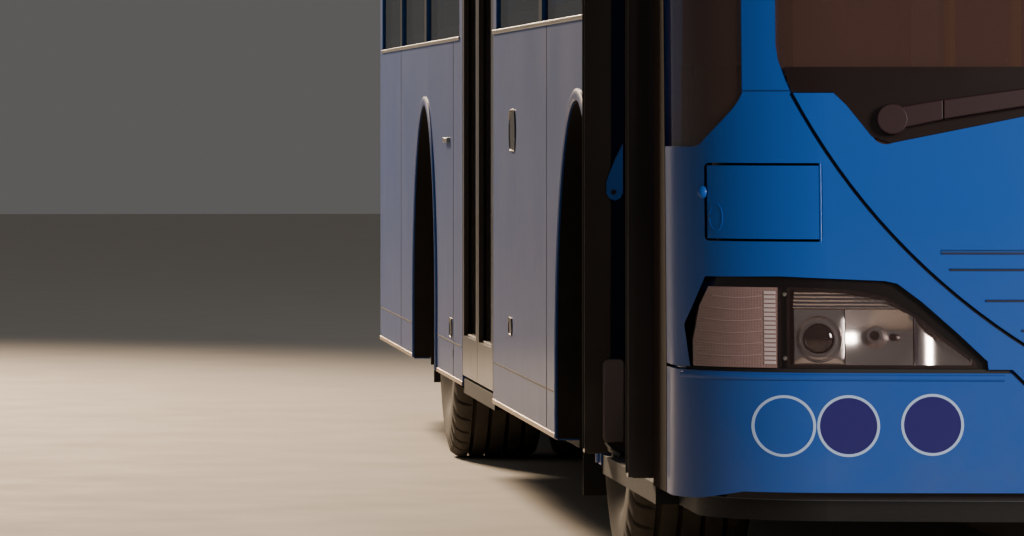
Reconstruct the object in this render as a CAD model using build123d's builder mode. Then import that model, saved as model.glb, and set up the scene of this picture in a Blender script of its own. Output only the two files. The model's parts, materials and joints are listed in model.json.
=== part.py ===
"""A twelve-metre low-floor city bus with two double-leaf doors, built panel by panel.

Units are millimetres. The origin is on the road under the middle of the bus, +X is forward,
+Y is the driver's side (left) and +Z is up. The doors are on the right, at -Y.
"""

import os
from math import atan2, cos, degrees, radians, sin

from build123d import *

# Overall size
length = 11950.0
width = 2550.0
roof_z = 2880.0
wall = 50.0
skirt_z = 278.0
under_z = 150.0
roof_joint_z = 2560.0

# Plan form: bowed ends, rounded corners and a tail that narrows
front_bow = 160.0
front_corner = 330.0
rear_bow = 60.0
rear_corner = 240.0
tail_length = 800.0
tail_taper = 45.0

# Upper body: the windscreen leans back and the roof edges are round
lean_z = 545.0
lean_setback = 235.0
roof_edge = 230.0
roof_end = 150.0

# Axles and wheels
front_overhang = 2705.0
wheelbase = 5845.0
tyre_radius = 479.0
tyre_width = 276.0
front_track = 2100.0
twin_track = 1834.0
twin_spacing = 311.0
kingpin_offset = 150.0
arch_clear = 103.0
rim_radius = 286.0

# Floor heights and running clearances
floor_z = 300.0
floor_thick = 40.0
axle_to_floor = 221.0
deck_z = 1200.0
gap = 8.0
seat_clear = 0.3
past = 20.0

# Doors: opening edges measured back from the front face
door_front = (790.0, 2060.0)
door_middle = (5500.0, 6770.0)
door_bottom = 310.0
door_top = 2340.0
door_header_z = 2350.0
door_edge_gap = 12.0
door_meeting_gap = 10.0
leaf_thick = 40.0
pivot_inset = 72.0
pivot_depth = 28.0
pivot_pin = 12.0
leaf_frame = 55.0
leaf_kick = 110.0
door_glass = 8.0

# Glazing
belt_z = 1250.0
window_top = 2330.0
glass_inset = 6.0
glass_thick = 9.0

# Front end, all heights above the road and distances out from the centre line
bumper_top = 545.0
bumper_outline = [
    (-1290, 298),
    (-1235, 300),
    (-1160, 316),
    (0, 319),
    (1160, 316),
    (1235, 300),
    (1290, 298),
    (1290, 545),
    (668, 545),
    (548, 425),
    (-548, 425),
    (-668, 545),
    (-1290, 545),
]
groove_foot = (432.0, 425.0)
groove_bend = (638.0, 590.0)
groove_middle = (879.0, 791.0)
groove_head = (1071.0, 1067.0)
seam_width = 7.0
seam_depth = 14.0
louvres = [
    # height, half length, how tall the groove is
    (768, 798, 9),
    (735, 783, 5),
    (677, 717, 5),
    (621, 651, 5),
]
louvre_depth = 8.0
pillar_outer = 1158.0
panel_ear = [(986.0, 1067.0), (916.0, 978.0), (902.0, 971.0), (884.0, 973.0)]
panel_brow = [(642.0, 1022.0), (0.0, 1085.0)]
glass_foot = [(1166.0, 1050.0), (1178.0, 1033.0), (1224.0, 979.0), (1234.0, 968.0), (1248.0, 965.0)]
glass_tool_low = 900.0
screen_outline = [(1071, 1067), (1081, 1091), (1094, 1129), (1098, 1157)]
post_width = 70.0
header_z = 2500.0

# Rear end
rear_bumper_low = 298.0
rear_bumper_top = 560.0
lid_half_width = 820.0
lid_low = 620.0
lid_high = 1330.0
lid_thick = 30.0
lid_hinge_half = 300.0
lid_slots = 7
lid_slot_half = 560.0
lid_slot_low = 720.0
lid_slot_pitch = 62.0
lid_slot_tall = 18.0
hinge_gap = 6.6
hinge_pin = 3.0
rear_window_half = 950.0
rear_window_low = 1480.0
rear_window_high = 2300.0
lamp_inner = 965.0
lamp_outer = 1105.0
lamp_low = 650.0
lamp_high = 1240.0

# Worked out from the sizes above
front_x = length / 2
rear_x = -length / 2
side_y = width / 2
inner_y = side_y - wall
front_axle_x = front_x - front_overhang
rear_axle_x = front_axle_x - wheelbase
module_x = front_x - door_front[0]
lamp_back_x = module_x + 100.0
seam_back_x = module_x + 200.0
tail_x = rear_x + tail_length
floor_low = floor_z - floor_thick
wheel_y = front_track / 2
kingpin_y = wheel_y - kingpin_offset
arch_radius = tyre_radius + arch_clear
rear_floor_z = tyre_radius + axle_to_floor

lean = atan2(lean_setback, roof_z - lean_z)
lean_plane = Plane(
    origin=(front_x, 0, lean_z), x_dir=(cos(lean), 0, sin(lean)), z_dir=(-sin(lean), 0, cos(lean))
)

os.makedirs("parts", exist_ok=True)


def finish(part, name):
    """Label a finished piece and write it as its own file."""
    part.label = name
    export_step(part, f"parts/{name}.step")
    print(f"{name}: {len(part.solids())} solids, {part.volume / 1e9:.4f} m3")


def plan(inset):
    """The outline of the bus seen from above, drawn in by inset."""
    half = side_y - inset
    tip = front_x - inset
    tail = rear_x + inset
    with BuildSketch() as outline:
        with BuildLine():
            ThreePointArc((tip - front_bow, -half), (tip, 0), (tip - front_bow, half))
            Polyline((tip - front_bow, half), (tail_x, half), (tail + rear_bow, half - tail_taper))
            ThreePointArc(
                (tail + rear_bow, half - tail_taper), (tail, 0), (tail + rear_bow, tail_taper - half)
            )
            Polyline(
                (tail + rear_bow, tail_taper - half), (tail_x, -half), (tip - front_bow, -half)
            )
        make_face()
        fillet(outline.vertices().group_by(Axis.X)[-1], front_corner - inset)
        fillet(outline.vertices().group_by(Axis.X)[0], rear_corner - inset)
    return outline.sketch


def vertical_form(inset, low=skirt_z, high=roof_joint_z):
    """The body's upright form between two heights, drawn in by inset."""
    with BuildPart() as body:
        with BuildSketch(Plane.XY.offset(low)):
            add(plan(inset))
        extrude(amount=high - low)
    return body.part


def leaning_form(inset, low=lean_z):
    """The body above the bumpers: leaning front, upright tail and rounded roof edges."""
    half = side_y - inset
    top = roof_z - inset
    with BuildPart() as body:
        with BuildSketch(lean_plane) as front:
            with BuildLine():
                ThreePointArc((-inset - front_bow, -half), (-inset, 0), (-inset - front_bow, half))
                Polyline(
                    (-inset - front_bow, half),
                    (-1.2 * length, half),
                    (-1.2 * length, -half),
                    (-inset - front_bow, -half),
                )
            make_face()
            fillet(front.vertices().group_by(Axis.X)[-1], front_corner - inset)
        extrude(amount=2 * roof_z, both=True)
        with BuildSketch(Plane.XY.offset(low)) as tail:
            with BuildLine():
                ThreePointArc(
                    (rear_x + inset + rear_bow, half - tail_taper),
                    (rear_x + inset, 0),
                    (rear_x + inset + rear_bow, tail_taper - half),
                )
                Polyline(
                    (rear_x + inset + rear_bow, tail_taper - half),
                    (tail_x, -half),
                    (length, -half),
                    (length, half),
                    (tail_x, half),
                    (rear_x + inset + rear_bow, half - tail_taper),
                )
            make_face()
            fillet(tail.vertices().group_by(Axis.X)[0], rear_corner - inset)
        extrude(amount=top - low, mode=Mode.INTERSECT)
        with BuildSketch(Plane.YZ) as section:
            with Locations((0, top / 2)):
                Rectangle(2 * half, top)
            fillet(section.vertices().group_by(Axis.Y)[-1], roof_edge - inset)
        extrude(amount=length, both=True, mode=Mode.INTERSECT)
        with BuildSketch(Plane.XZ) as profile:
            with BuildLine():
                Polyline(
                    (rear_x + inset - 30, 0),
                    (2 * front_x, 0),
                    (front_x - lean_setback - inset + 30, top),
                    (rear_x + inset - 30, top),
                    (rear_x + inset - 30, 0),
                )
            make_face()
            fillet(profile.vertices().group_by(Axis.Y)[-1], roof_end)
        extrude(amount=width, both=True, mode=Mode.INTERSECT)
    return body.part


outer_form = leaning_form(0)
with BuildPart() as upper_skin:
    add(outer_form)
    add(leaning_form(wall, lean_z - wall), mode=Mode.SUBTRACT)
with BuildPart() as lower_skin:
    add(vertical_form(0))
    add(vertical_form(wall, under_z, roof_z), mode=Mode.SUBTRACT)
with BuildPart() as glass_skin:
    add(leaning_form(glass_inset))
    add(leaning_form(glass_inset + glass_thick, lean_z - wall), mode=Mode.SUBTRACT)


def slab(low, high):
    """A box between two corners, kept aside from any part being built."""
    size = [far - near for near, far in zip(low, high)]
    centre = tuple((far + near) / 2 for near, far in zip(low, high))
    with BuildPart(mode=Mode.PRIVATE) as block:
        with Locations(centre):
            Box(*size)
    return block.part


def front_view(points, low_x, high_x, rounding=0.0, grown=0.0):
    """A prism along X whose outline is given as (out from the centre line, height)."""
    with BuildPart(mode=Mode.PRIVATE) as prism:
        with BuildSketch(Plane.YZ.offset(low_x)) as outline:
            with BuildLine():
                Polyline(*points, points[0])
            make_face()
            if grown:
                offset(amount=grown, kind=Kind.INTERSECTION)
            if rounding:
                fillet(outline.vertices(), rounding)
        extrude(amount=high_x - low_x)
    return prism.part


def across(point):
    """The point on the other side of the bus's middle."""
    return (-point[0], point[1])


front_zone = slab((module_x, -side_y, 0), (front_x + past, side_y, roof_z))


def nose_form(inset):
    """The form of the front: upright up to the bumper's top, leaning back above it."""
    with BuildPart() as form:
        add(vertical_form(inset, under_z, roof_z))
        add(leaning_form(inset, under_z), mode=Mode.INTERSECT)
    return form.part


with BuildPart() as nose_skin:
    add(nose_form(0))
    add(nose_form(wall), mode=Mode.SUBTRACT)

# Front end: the groove runs from the bumper's middle up to the foot of the windscreen pillar.
with BuildPart() as groove_prism:
    with BuildSketch(Plane.YZ.offset(module_x)):
        with BuildLine():
            Line(groove_foot, groove_bend)
            ThreePointArc(groove_bend, groove_middle, groove_head)
            Polyline(groove_head, panel_ear[0], panel_ear[1])
            ThreePointArc(panel_ear[1], panel_ear[2], panel_ear[3])
            Line(panel_ear[3], panel_brow[0])
            ThreePointArc(panel_brow[0], panel_brow[1], across(panel_brow[0]))
            Line(across(panel_brow[0]), across(panel_ear[3]))
            ThreePointArc(across(panel_ear[3]), across(panel_ear[2]), across(panel_ear[1]))
            Polyline(across(panel_ear[1]), across(panel_ear[0]), across(groove_head))
            ThreePointArc(across(groove_head), across(groove_middle), across(groove_bend))
            Line(across(groove_bend), across(groove_foot))
            Line(across(groove_foot), groove_foot)
        make_face()
    extrude(amount=door_front[0] + 20)

with BuildPart() as corner_prism:
    with BuildSketch(Plane.YZ.offset(module_x)):
        with BuildLine():
            Line(groove_foot, groove_bend)
            ThreePointArc(groove_bend, groove_middle, groove_head)
            Line(groove_head, (pillar_outer, groove_head[1]))
            ThreePointArc((pillar_outer, groove_head[1]), glass_foot[0], glass_foot[1])
            Line(glass_foot[1], glass_foot[2])
            ThreePointArc(glass_foot[2], glass_foot[3], glass_foot[4])
            Polyline(
                glass_foot[4],
                (side_y + past, glass_foot[4][1]),
                (side_y + past, bumper_top),
                bumper_outline[8],
                bumper_outline[9],
                groove_foot,
            )
        make_face()
    extrude(amount=door_front[0] + 20)

# The seams and the louvres are cut this deep into the panels that meet at them.
with BuildPart() as seams:
    for side in (-1, 1):
        with BuildSketch(Plane.YZ.offset(seam_back_x)):
            with BuildLine():
                Line((side * groove_foot[0], groove_foot[1]), (side * groove_bend[0], groove_bend[1]))
                ThreePointArc(
                    (side * groove_bend[0], groove_bend[1]),
                    (side * groove_middle[0], groove_middle[1]),
                    (side * groove_head[0], groove_head[1]),
                )
            trace(line_width=seam_width)
            with BuildLine():
                Polyline(
                    (side * 1290, bumper_top),
                    (side * bumper_outline[8][0], bumper_top),
                    (side * bumper_outline[9][0], bumper_outline[9][1]),
                    (0, bumper_outline[9][1]),
                )
            trace(line_width=seam_width)
        extrude(amount=door_front[0])
    add(nose_form(seam_depth), mode=Mode.SUBTRACT)
with BuildPart() as louvre_cuts:
    for height, reach, tall in louvres:
        add(
            slab(
                (seam_back_x, -reach, height - tall / 2),
                (front_x + past, reach, height + tall / 2),
            )
        )
    add(leaning_form(louvre_depth), mode=Mode.SUBTRACT)

# Headlamp units sit in the corner panels and wrap round the corner.
bezel_outline = [
    (711, bumper_top),
    (713, 564),
    (764, 613),
    (832, 674),
    (878, 709),
    (901, 714),
    (1094, 722),
    (1224, 720),
    (1258, 628),
    (1249, bumper_top),
]
lens_outline = [
    (730, 550),
    (734, 564),
    (787, 604),
    (833, 641),
    (874, 667),
    (902, 685),
    (966, 697),
    (1081, 702),
    (1082, 550),
]
signal_outline = [(1100, 550), (1098, 701), (1218, 701), (1233, 665), (1244, 598), (1244, 550)]
bezel_prism = front_view(bezel_outline, lamp_back_x, front_x + past)

# Small service flap beside the right headlamp
flap_inner = 1015.0
flap_outer = 1224.0
flap_low = 787.0
flap_high = 935.0
flap_corner = 9.0
flap_gap = 5.0
flap_thick = 22.0
flap_hole = front_view(
    [
        (-flap_outer, flap_low),
        (-flap_inner, flap_low),
        (-flap_inner, flap_high),
        (-flap_outer, flap_high),
    ],
    seam_back_x,
    front_x + past,
    rounding=flap_corner,
)
bow_radius = (side_y**2 + front_bow**2) / (2 * front_bow)
flap_hinge_y = -(flap_inner + hinge_gap / 2)
flap_hinge_z = (flap_low + flap_high) / 2
flap_hinge_out = (bow_radius**2 - flap_hinge_y**2) ** 0.5 - bow_radius - hinge_pin
flap_hinge_up = (flap_hinge_z - lean_z - flap_hinge_out * sin(lean)) / cos(lean)
flap_hinge_x = front_x + flap_hinge_out * cos(lean) - flap_hinge_up * sin(lean)
flap_hinge_tilt = -degrees(lean)

with BuildPart() as front_panel:
    add(nose_skin.part)
    add(groove_prism.part, mode=Mode.INTERSECT)
    add(seams.part, mode=Mode.SUBTRACT)
    add(louvre_cuts.part, mode=Mode.SUBTRACT)
finish(front_panel.part, "front_panel")

with BuildPart() as corner_panels:
    add(nose_skin.part)
    add(corner_prism.part, mode=Mode.INTERSECT)
    add(bezel_prism, mode=Mode.SUBTRACT)
    mirror(about=Plane.XZ)
    add(seams.part, mode=Mode.SUBTRACT)
    add(flap_hole, mode=Mode.SUBTRACT)
    flap_hinge = Location((flap_hinge_x, flap_hinge_y, flap_hinge_z), (0, flap_hinge_tilt, 0))
    with Locations(flap_hinge):
        Cylinder(hinge_pin, flap_high - flap_low + 2 * hinge_pin)
        with Locations((-hinge_pin, hinge_gap / 4, 0)):
            Box(2 * hinge_pin, hinge_gap / 2, flap_high - flap_low + 2)
finish(corner_panels.part, "front_corner_panels")

with BuildPart() as front_bumper:
    add(lower_skin.part)
    add(front_view(bumper_outline, module_x, front_x + past), mode=Mode.INTERSECT)
    add(seams.part, mode=Mode.SUBTRACT)
finish(front_bumper.part, "front_bumper")

lamp_pan = 14.0
lamp_pocket = 44.0
lamp_rim = 6.0
lens_inset = 3.0
lens_thick = 4.0
lens_rim = 4.0
with BuildPart() as lamp_skin:
    add(leaning_form(lamp_pan))
    add(leaning_form(wall, lean_z - wall), mode=Mode.SUBTRACT)
with BuildPart() as lens_skin:
    add(leaning_form(lens_inset))
    add(leaning_form(lamp_pan, lean_z - wall), mode=Mode.SUBTRACT)
pocket_form = leaning_form(lamp_pocket, lean_z - wall)
lens_hollow = leaning_form(lens_inset + lens_thick, lean_z - wall)
with BuildPart() as headlamp_housings:
    add(lamp_skin.part)
    add(bezel_prism, mode=Mode.INTERSECT)
    for outline in (lens_outline, signal_outline):
        with BuildPart(mode=Mode.PRIVATE) as pocket:
            add(front_view(outline, lamp_back_x, front_x + past, grown=-lamp_rim))
            add(pocket_form, mode=Mode.SUBTRACT)
        add(pocket.part, mode=Mode.SUBTRACT)
    mirror(about=Plane.XZ)
finish(headlamp_housings.part, "headlamp_housings")
for name, outline in (("headlamp_lenses", lens_outline), ("turn_signal_lenses", signal_outline)):
    with BuildPart() as lens:
        add(lens_skin.part)
        add(front_view(outline, lamp_back_x, front_x + past), mode=Mode.INTERSECT)
        with BuildPart(mode=Mode.PRIVATE) as hollow:
            add(front_view(outline, lamp_back_x, front_x + past, grown=-lens_rim))
            add(lens_hollow, mode=Mode.INTERSECT)
        add(hollow.part, mode=Mode.SUBTRACT)
        mirror(about=Plane.XZ)
    finish(lens.part, name)

screen_prism = front_view(
    [across(point) for point in screen_outline]
    + [(-screen_outline[-1][0], header_z), (screen_outline[-1][0], header_z)]
    + screen_outline[::-1]
    + [(screen_outline[0][0], glass_tool_low), (-screen_outline[0][0], glass_tool_low)],
    module_x,
    front_x + past,
)
with BuildPart() as front_frame:
    add(upper_skin.part)
    add(front_zone, mode=Mode.INTERSECT)
    add(screen_prism, mode=Mode.SUBTRACT)
    for side in (-1, 1):
        add(
            front_view(
                [
                    (side * pillar_outer, 0),
                    (side * pillar_outer, header_z),
                    (side * (side_y + past), header_z),
                    (side * (side_y + past), 0),
                ],
                module_x + post_width,
                front_x + past,
            ),
            mode=Mode.SUBTRACT,
        )
    add(groove_prism.part, mode=Mode.SUBTRACT)
    add(corner_prism.part, mode=Mode.SUBTRACT)
    add(mirror(corner_prism.part, about=Plane.XZ, mode=Mode.PRIVATE), mode=Mode.SUBTRACT)
    add(slab((module_x, -side_y, 0), (front_x + past, side_y, bumper_top)), mode=Mode.SUBTRACT)
    add(slab((module_x, -side_y, roof_joint_z), (front_x + past, side_y, roof_z)), mode=Mode.SUBTRACT)
finish(front_frame.part, "front_frame")

with BuildPart() as windscreen:
    add(glass_skin.part)
    add(screen_prism, mode=Mode.INTERSECT)
    add(groove_prism.part, mode=Mode.SUBTRACT)
    add(corner_prism.part, mode=Mode.SUBTRACT)
    add(mirror(corner_prism.part, about=Plane.XZ, mode=Mode.PRIVATE), mode=Mode.SUBTRACT)
finish(windscreen.part, "windscreen")

with BuildPart() as corner_glass:
    add(glass_skin.part)
    add(
        slab(
            (module_x + post_width, pillar_outer, glass_tool_low),
            (front_x + past, side_y, header_z),
        ),
        mode=Mode.INTERSECT,
    )
    add(corner_prism.part, mode=Mode.SUBTRACT)
    mirror(about=Plane.XZ)
finish(corner_glass.part, "corner_glass")

with BuildPart() as roof:
    add(upper_skin.part)
    add(
        slab((rear_x - past, -side_y, roof_joint_z), (front_x + past, side_y, roof_z + 10)),
        mode=Mode.INTERSECT,
    )
finish(roof.part, "roof")

# Side walls: windows as (front edge back from the front face, length)
windows_right = [(2200, 1560), (3860, 1520), (6900, 1560), (8560, 1240), (9880, 1140)]
windows_left = [
    (880, 1120),
    (2100, 1620),
    (3820, 1620),
    (5540, 1620),
    (7260, 1620),
    (8980, 1000),
    (10080, 940),
]


# Engine air grille in the left wall, as a stack of slots
vent_slots = 8
vent_low = 620.0
vent_pitch = 50.0
vent_tall = 20.0
vent_rear_x = tail_x + 140.0
vent_front_x = rear_axle_x - arch_radius - 260.0


def side_wall(side, windows, doors, slots):
    """One side from the front module to the tail, with its windows, doorways and arches cut."""
    outside = side * (side_y + past)
    inside = side * (inner_y - past)
    low_y, high_y = sorted((outside, inside))
    with BuildPart() as panel:
        near_y, far_y = sorted((side * side_y, side * inner_y))
        add(slab((tail_x, near_y, skirt_z), (module_x, far_y, roof_joint_z)))
        for start, run in windows:
            add(
                slab(
                    (front_x - start - run, low_y, belt_z),
                    (front_x - start, high_y, window_top),
                ),
                mode=Mode.SUBTRACT,
            )
        for start, end in doors:
            add(
                slab((front_x - end, low_y, 0), (front_x - start, high_y, door_header_z)),
                mode=Mode.SUBTRACT,
            )
        for axle_x in (front_axle_x, rear_axle_x):
            with BuildSketch(Plane.XZ.offset(-low_y)):
                with Locations((axle_x, tyre_radius)):
                    Circle(arch_radius)
                with Locations((axle_x, tyre_radius / 2)):
                    Rectangle(2 * arch_radius, tyre_radius)
            extrude(amount=low_y - high_y, mode=Mode.SUBTRACT)
        for row in range(slots):
            low = vent_low + row * vent_pitch
            slot = slab((vent_rear_x, low_y, low), (vent_front_x, high_y, low + vent_tall))
            add(slot, mode=Mode.SUBTRACT)
    return panel.part


finish(side_wall(-1, windows_right, (door_front, door_middle), 0), "side_wall_right")
finish(side_wall(1, windows_left, (), vent_slots), "side_wall_left")

with BuildPart() as side_windows:
    for side, windows in ((-1, windows_right), (1, windows_left)):
        for start, run in windows:
            outer = side * (side_y - glass_inset)
            low_y, high_y = sorted((outer, outer - side * glass_thick))
            add(slab((front_x - start - run, low_y, belt_z), (front_x - start, high_y, window_top)))
finish(side_windows.part, "side_windows")

# Rear end
rear_cut = rear_x + 300.0
lid_hinge_x = rear_x + hinge_pin
lid_hinge_z = lid_high - hinge_gap / 2
with BuildPart() as rear_panel:
    add(lower_skin.part)
    add(slab((rear_x - past, -side_y, rear_bumper_top), (tail_x, side_y, roof_joint_z)), mode=Mode.INTERSECT)
    add(
        slab(
            (rear_x - past, -rear_window_half, rear_window_low),
            (rear_cut, rear_window_half, rear_window_high),
        ),
        mode=Mode.SUBTRACT,
    )
    add(slab((rear_x - past, -lid_half_width, lid_low), (rear_cut, lid_half_width, lid_high)), mode=Mode.SUBTRACT)
    for side in (-1, 1):
        low_y, high_y = sorted((side * lamp_inner, side * lamp_outer))
        add(slab((rear_x - past, low_y, lamp_low), (rear_cut, high_y, lamp_high)), mode=Mode.SUBTRACT)
    with Locations(Location((lid_hinge_x, 0, lid_hinge_z), (90, 0, 0))):
        Cylinder(hinge_pin, 2 * lid_hinge_half)
    with Locations((lid_hinge_x + hinge_pin, 0, lid_hinge_z + hinge_gap / 4)):
        Box(2 * hinge_pin, 2 * lid_hinge_half, hinge_gap / 2)
finish(rear_panel.part, "rear_panel")

with BuildPart() as engine_lid:
    add(vertical_form(0))
    add(vertical_form(lid_thick, under_z, roof_z), mode=Mode.SUBTRACT)
    add(
        slab(
            (rear_x - past, gap - lid_half_width, lid_low + gap),
            (rear_cut, lid_half_width - gap, lid_high - hinge_gap),
        ),
        mode=Mode.INTERSECT,
    )
    for row in range(lid_slots):
        low = lid_slot_low + row * lid_slot_pitch
        add(
            slab((rear_x - past, -lid_slot_half, low), (rear_cut, lid_slot_half, low + lid_slot_tall)),
            mode=Mode.SUBTRACT,
        )
finish(engine_lid.part, "engine_lid")

with BuildPart() as rear_window:
    add(vertical_form(glass_inset))
    add(vertical_form(glass_inset + glass_thick, under_z, roof_z), mode=Mode.SUBTRACT)
    add(
        slab(
            (rear_x - past, -rear_window_half, rear_window_low),
            (rear_cut, rear_window_half, rear_window_high),
        ),
        mode=Mode.INTERSECT,
    )
finish(rear_window.part, "rear_window")

with BuildPart() as tail_lamps:
    add(lower_skin.part)
    add(slab((rear_x - past, lamp_inner, lamp_low), (rear_cut, lamp_outer, lamp_high)), mode=Mode.INTERSECT)
    mirror(about=Plane.XZ)
finish(tail_lamps.part, "tail_lamps")

with BuildPart() as rear_bumper:
    add(lower_skin.part)
    add(slab((rear_x - past, -side_y, rear_bumper_low), (tail_x, side_y, rear_bumper_top)), mode=Mode.INTERSECT)
finish(rear_bumper.part, "rear_bumper")


def door_leaf(opening, forward, opened):
    """One leaf: its frame with pivot pins and its glass, closed or swung in by a quarter turn."""
    start, end = opening
    leaf_width = (end - start - 2 * door_edge_gap - door_meeting_gap) / 2
    pivot_x = front_x - (start + door_edge_gap + pivot_inset)
    along = -1
    if not forward:
        pivot_x = front_x - (end - door_edge_gap - pivot_inset)
        along = 1
    pivot = (pivot_x, pivot_depth - side_y, 0)
    middle_x = pivot_x + along * (leaf_width / 2 - pivot_inset)
    height = door_top - door_bottom
    hole_low = door_bottom + leaf_kick
    hole_high = door_top - leaf_frame
    hole_middle = (hole_low + hole_high) / 2
    with BuildPart() as frame:
        with BuildSketch(Plane.XZ.offset(side_y)):
            with Locations((middle_x, door_bottom + height / 2)):
                Rectangle(leaf_width, height)
            with Locations((middle_x, hole_middle)):
                Rectangle(leaf_width - 2 * leaf_frame, hole_high - hole_low, mode=Mode.SUBTRACT)
        extrude(amount=-leaf_thick)
        for low, high in (
            (floor_z + seat_clear, door_bottom),
            (door_top, door_header_z - seat_clear),
        ):
            with Locations((pivot_x, pivot[1], (low + high) / 2)):
                Cylinder(pivot_pin, high - low)
    with BuildPart() as pane:
        with BuildSketch(Plane.XZ.offset(side_y - leaf_thick / 2 + door_glass / 2)):
            with Locations((middle_x, hole_middle)):
                Rectangle(leaf_width - 2 * leaf_frame, hole_high - hole_low)
        extrude(amount=-door_glass)
    turn = 0
    if opened:
        turn = -90 if forward else 90
    axis = Axis(pivot, (0, 0, 1))
    return frame.part.rotate(axis, turn), pane.part.rotate(axis, turn)


for door_name, opening, opened in (("front", door_front, True), ("middle", door_middle, False)):
    for leaf_name, forward in (("forward", True), ("rearward", False)):
        frame_part, pane_part = door_leaf(opening, forward, opened)
        finish(frame_part, f"{door_name}_door_leaf_{leaf_name}")
        finish(pane_part, f"{door_name}_door_glass_{leaf_name}")

# Service flap, hinged on its inner upright edge
with BuildPart() as service_flap:
    add(outer_form)
    add(leaning_form(flap_thick, lean_z - wall), mode=Mode.SUBTRACT)
    add(
        front_view(
            [
                (-flap_outer + flap_gap, flap_low + flap_gap),
                (-flap_inner - hinge_gap, flap_low + flap_gap),
                (-flap_inner - hinge_gap, flap_high - flap_gap),
                (-flap_outer + flap_gap, flap_high - flap_gap),
            ],
            seam_back_x,
            front_x + past,
        ),
        mode=Mode.INTERSECT,
    )
finish(service_flap.part, "service_flap")

# Floor: low to the middle of the bus, a step over the rear axle and a deck over the engine
step_x = rear_axle_x + 640.0
deck_x = rear_axle_x - 1125.0
housing_half_front = 590.0
housing_half_rear = 565.0
housing_inner_front = wheel_y - 490.0
housing_inner_rear = twin_track / 2 - twin_spacing / 2 - tyre_width / 2 - 33.5
housing_top = 2 * tyre_radius + 112.0
housing_wall = 20.0
housings = [
    (front_axle_x, housing_half_front, housing_inner_front),
    (rear_axle_x, housing_half_rear, housing_inner_rear),
]
axle_slot_half = 110.0
sill_inset = 4.0
driver_floor_z = 480.0
driver_floor_inner = 260.0
driver_floor_front = module_x + 60.0
with BuildPart() as floor:
    with BuildSketch(Plane.XZ):
        with BuildLine():
            Polyline(
                (front_x, floor_z),
                (step_x, floor_z),
                (step_x, rear_floor_z),
                (deck_x, rear_floor_z),
                (deck_x, deck_z),
                (rear_x, deck_z),
                (rear_x, deck_z - floor_thick),
                (deck_x - floor_thick, deck_z - floor_thick),
                (deck_x - floor_thick, rear_floor_z - floor_thick),
                (step_x - floor_thick, rear_floor_z - floor_thick),
                (step_x - floor_thick, floor_low),
                (front_x, floor_low),
                (front_x, floor_z),
            )
        make_face()
    extrude(amount=side_y, both=True)
    add(vertical_form(wall, under_z, roof_z), mode=Mode.INTERSECT)
    for axle_x, half, inner in housings:
        for side in (-1, 1):
            low_y, high_y = sorted((side * inner, side * side_y))
            add(
                slab((axle_x - half, low_y, under_z), (axle_x + half, high_y, housing_top)),
                mode=Mode.SUBTRACT,
            )
    for start, end in (door_front, door_middle):
        add(slab((front_x - end, sill_inset - side_y, floor_low), (front_x - start, -inner_y, floor_z)))
    add(
        slab(
            (front_axle_x + housing_half_front, driver_floor_inner, floor_z),
            (driver_floor_front, inner_y, driver_floor_z),
        )
    )
finish(floor.part, "floor")

for name, (axle_x, half, inner) in zip(("front_wheel_housings", "rear_wheel_housings"), housings):
    with BuildPart() as housing:
        add(slab((axle_x - half, inner, floor_low), (axle_x + half, inner_y, housing_top)))
        add(
            slab(
                (axle_x - half + housing_wall, inner + housing_wall, under_z),
                (axle_x + half - housing_wall, side_y, housing_top - housing_wall),
            ),
            mode=Mode.SUBTRACT,
        )
        if axle_x == rear_axle_x:
            add(
                slab(
                    (axle_x - axle_slot_half, inner - past, under_z),
                    (axle_x + axle_slot_half, inner + housing_wall, tyre_radius + axle_slot_half),
                ),
                mode=Mode.SUBTRACT,
            )
        mirror(about=Plane.XZ)
    finish(housing.part, name)

# Mud flaps: the front pair hangs from the floor, the rear pair is fixed to the wheel housings
flap_sheet = 8.0
mud_flap_inner = 720.0
mud_flap_outer = 1215.0
mud_flap_rows = [
    # front face, lowest, highest
    (front_axle_x - housing_half_front, 150, floor_low),
    (rear_axle_x - housing_half_rear, 205, 600),
]
with BuildPart() as mud_flaps:
    for x, low, high in mud_flap_rows:
        add(slab((x - flap_sheet, mud_flap_inner, low), (x, mud_flap_outer, high)))
    mirror(about=Plane.XZ)
finish(mud_flaps.part, "mud_flaps")

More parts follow.
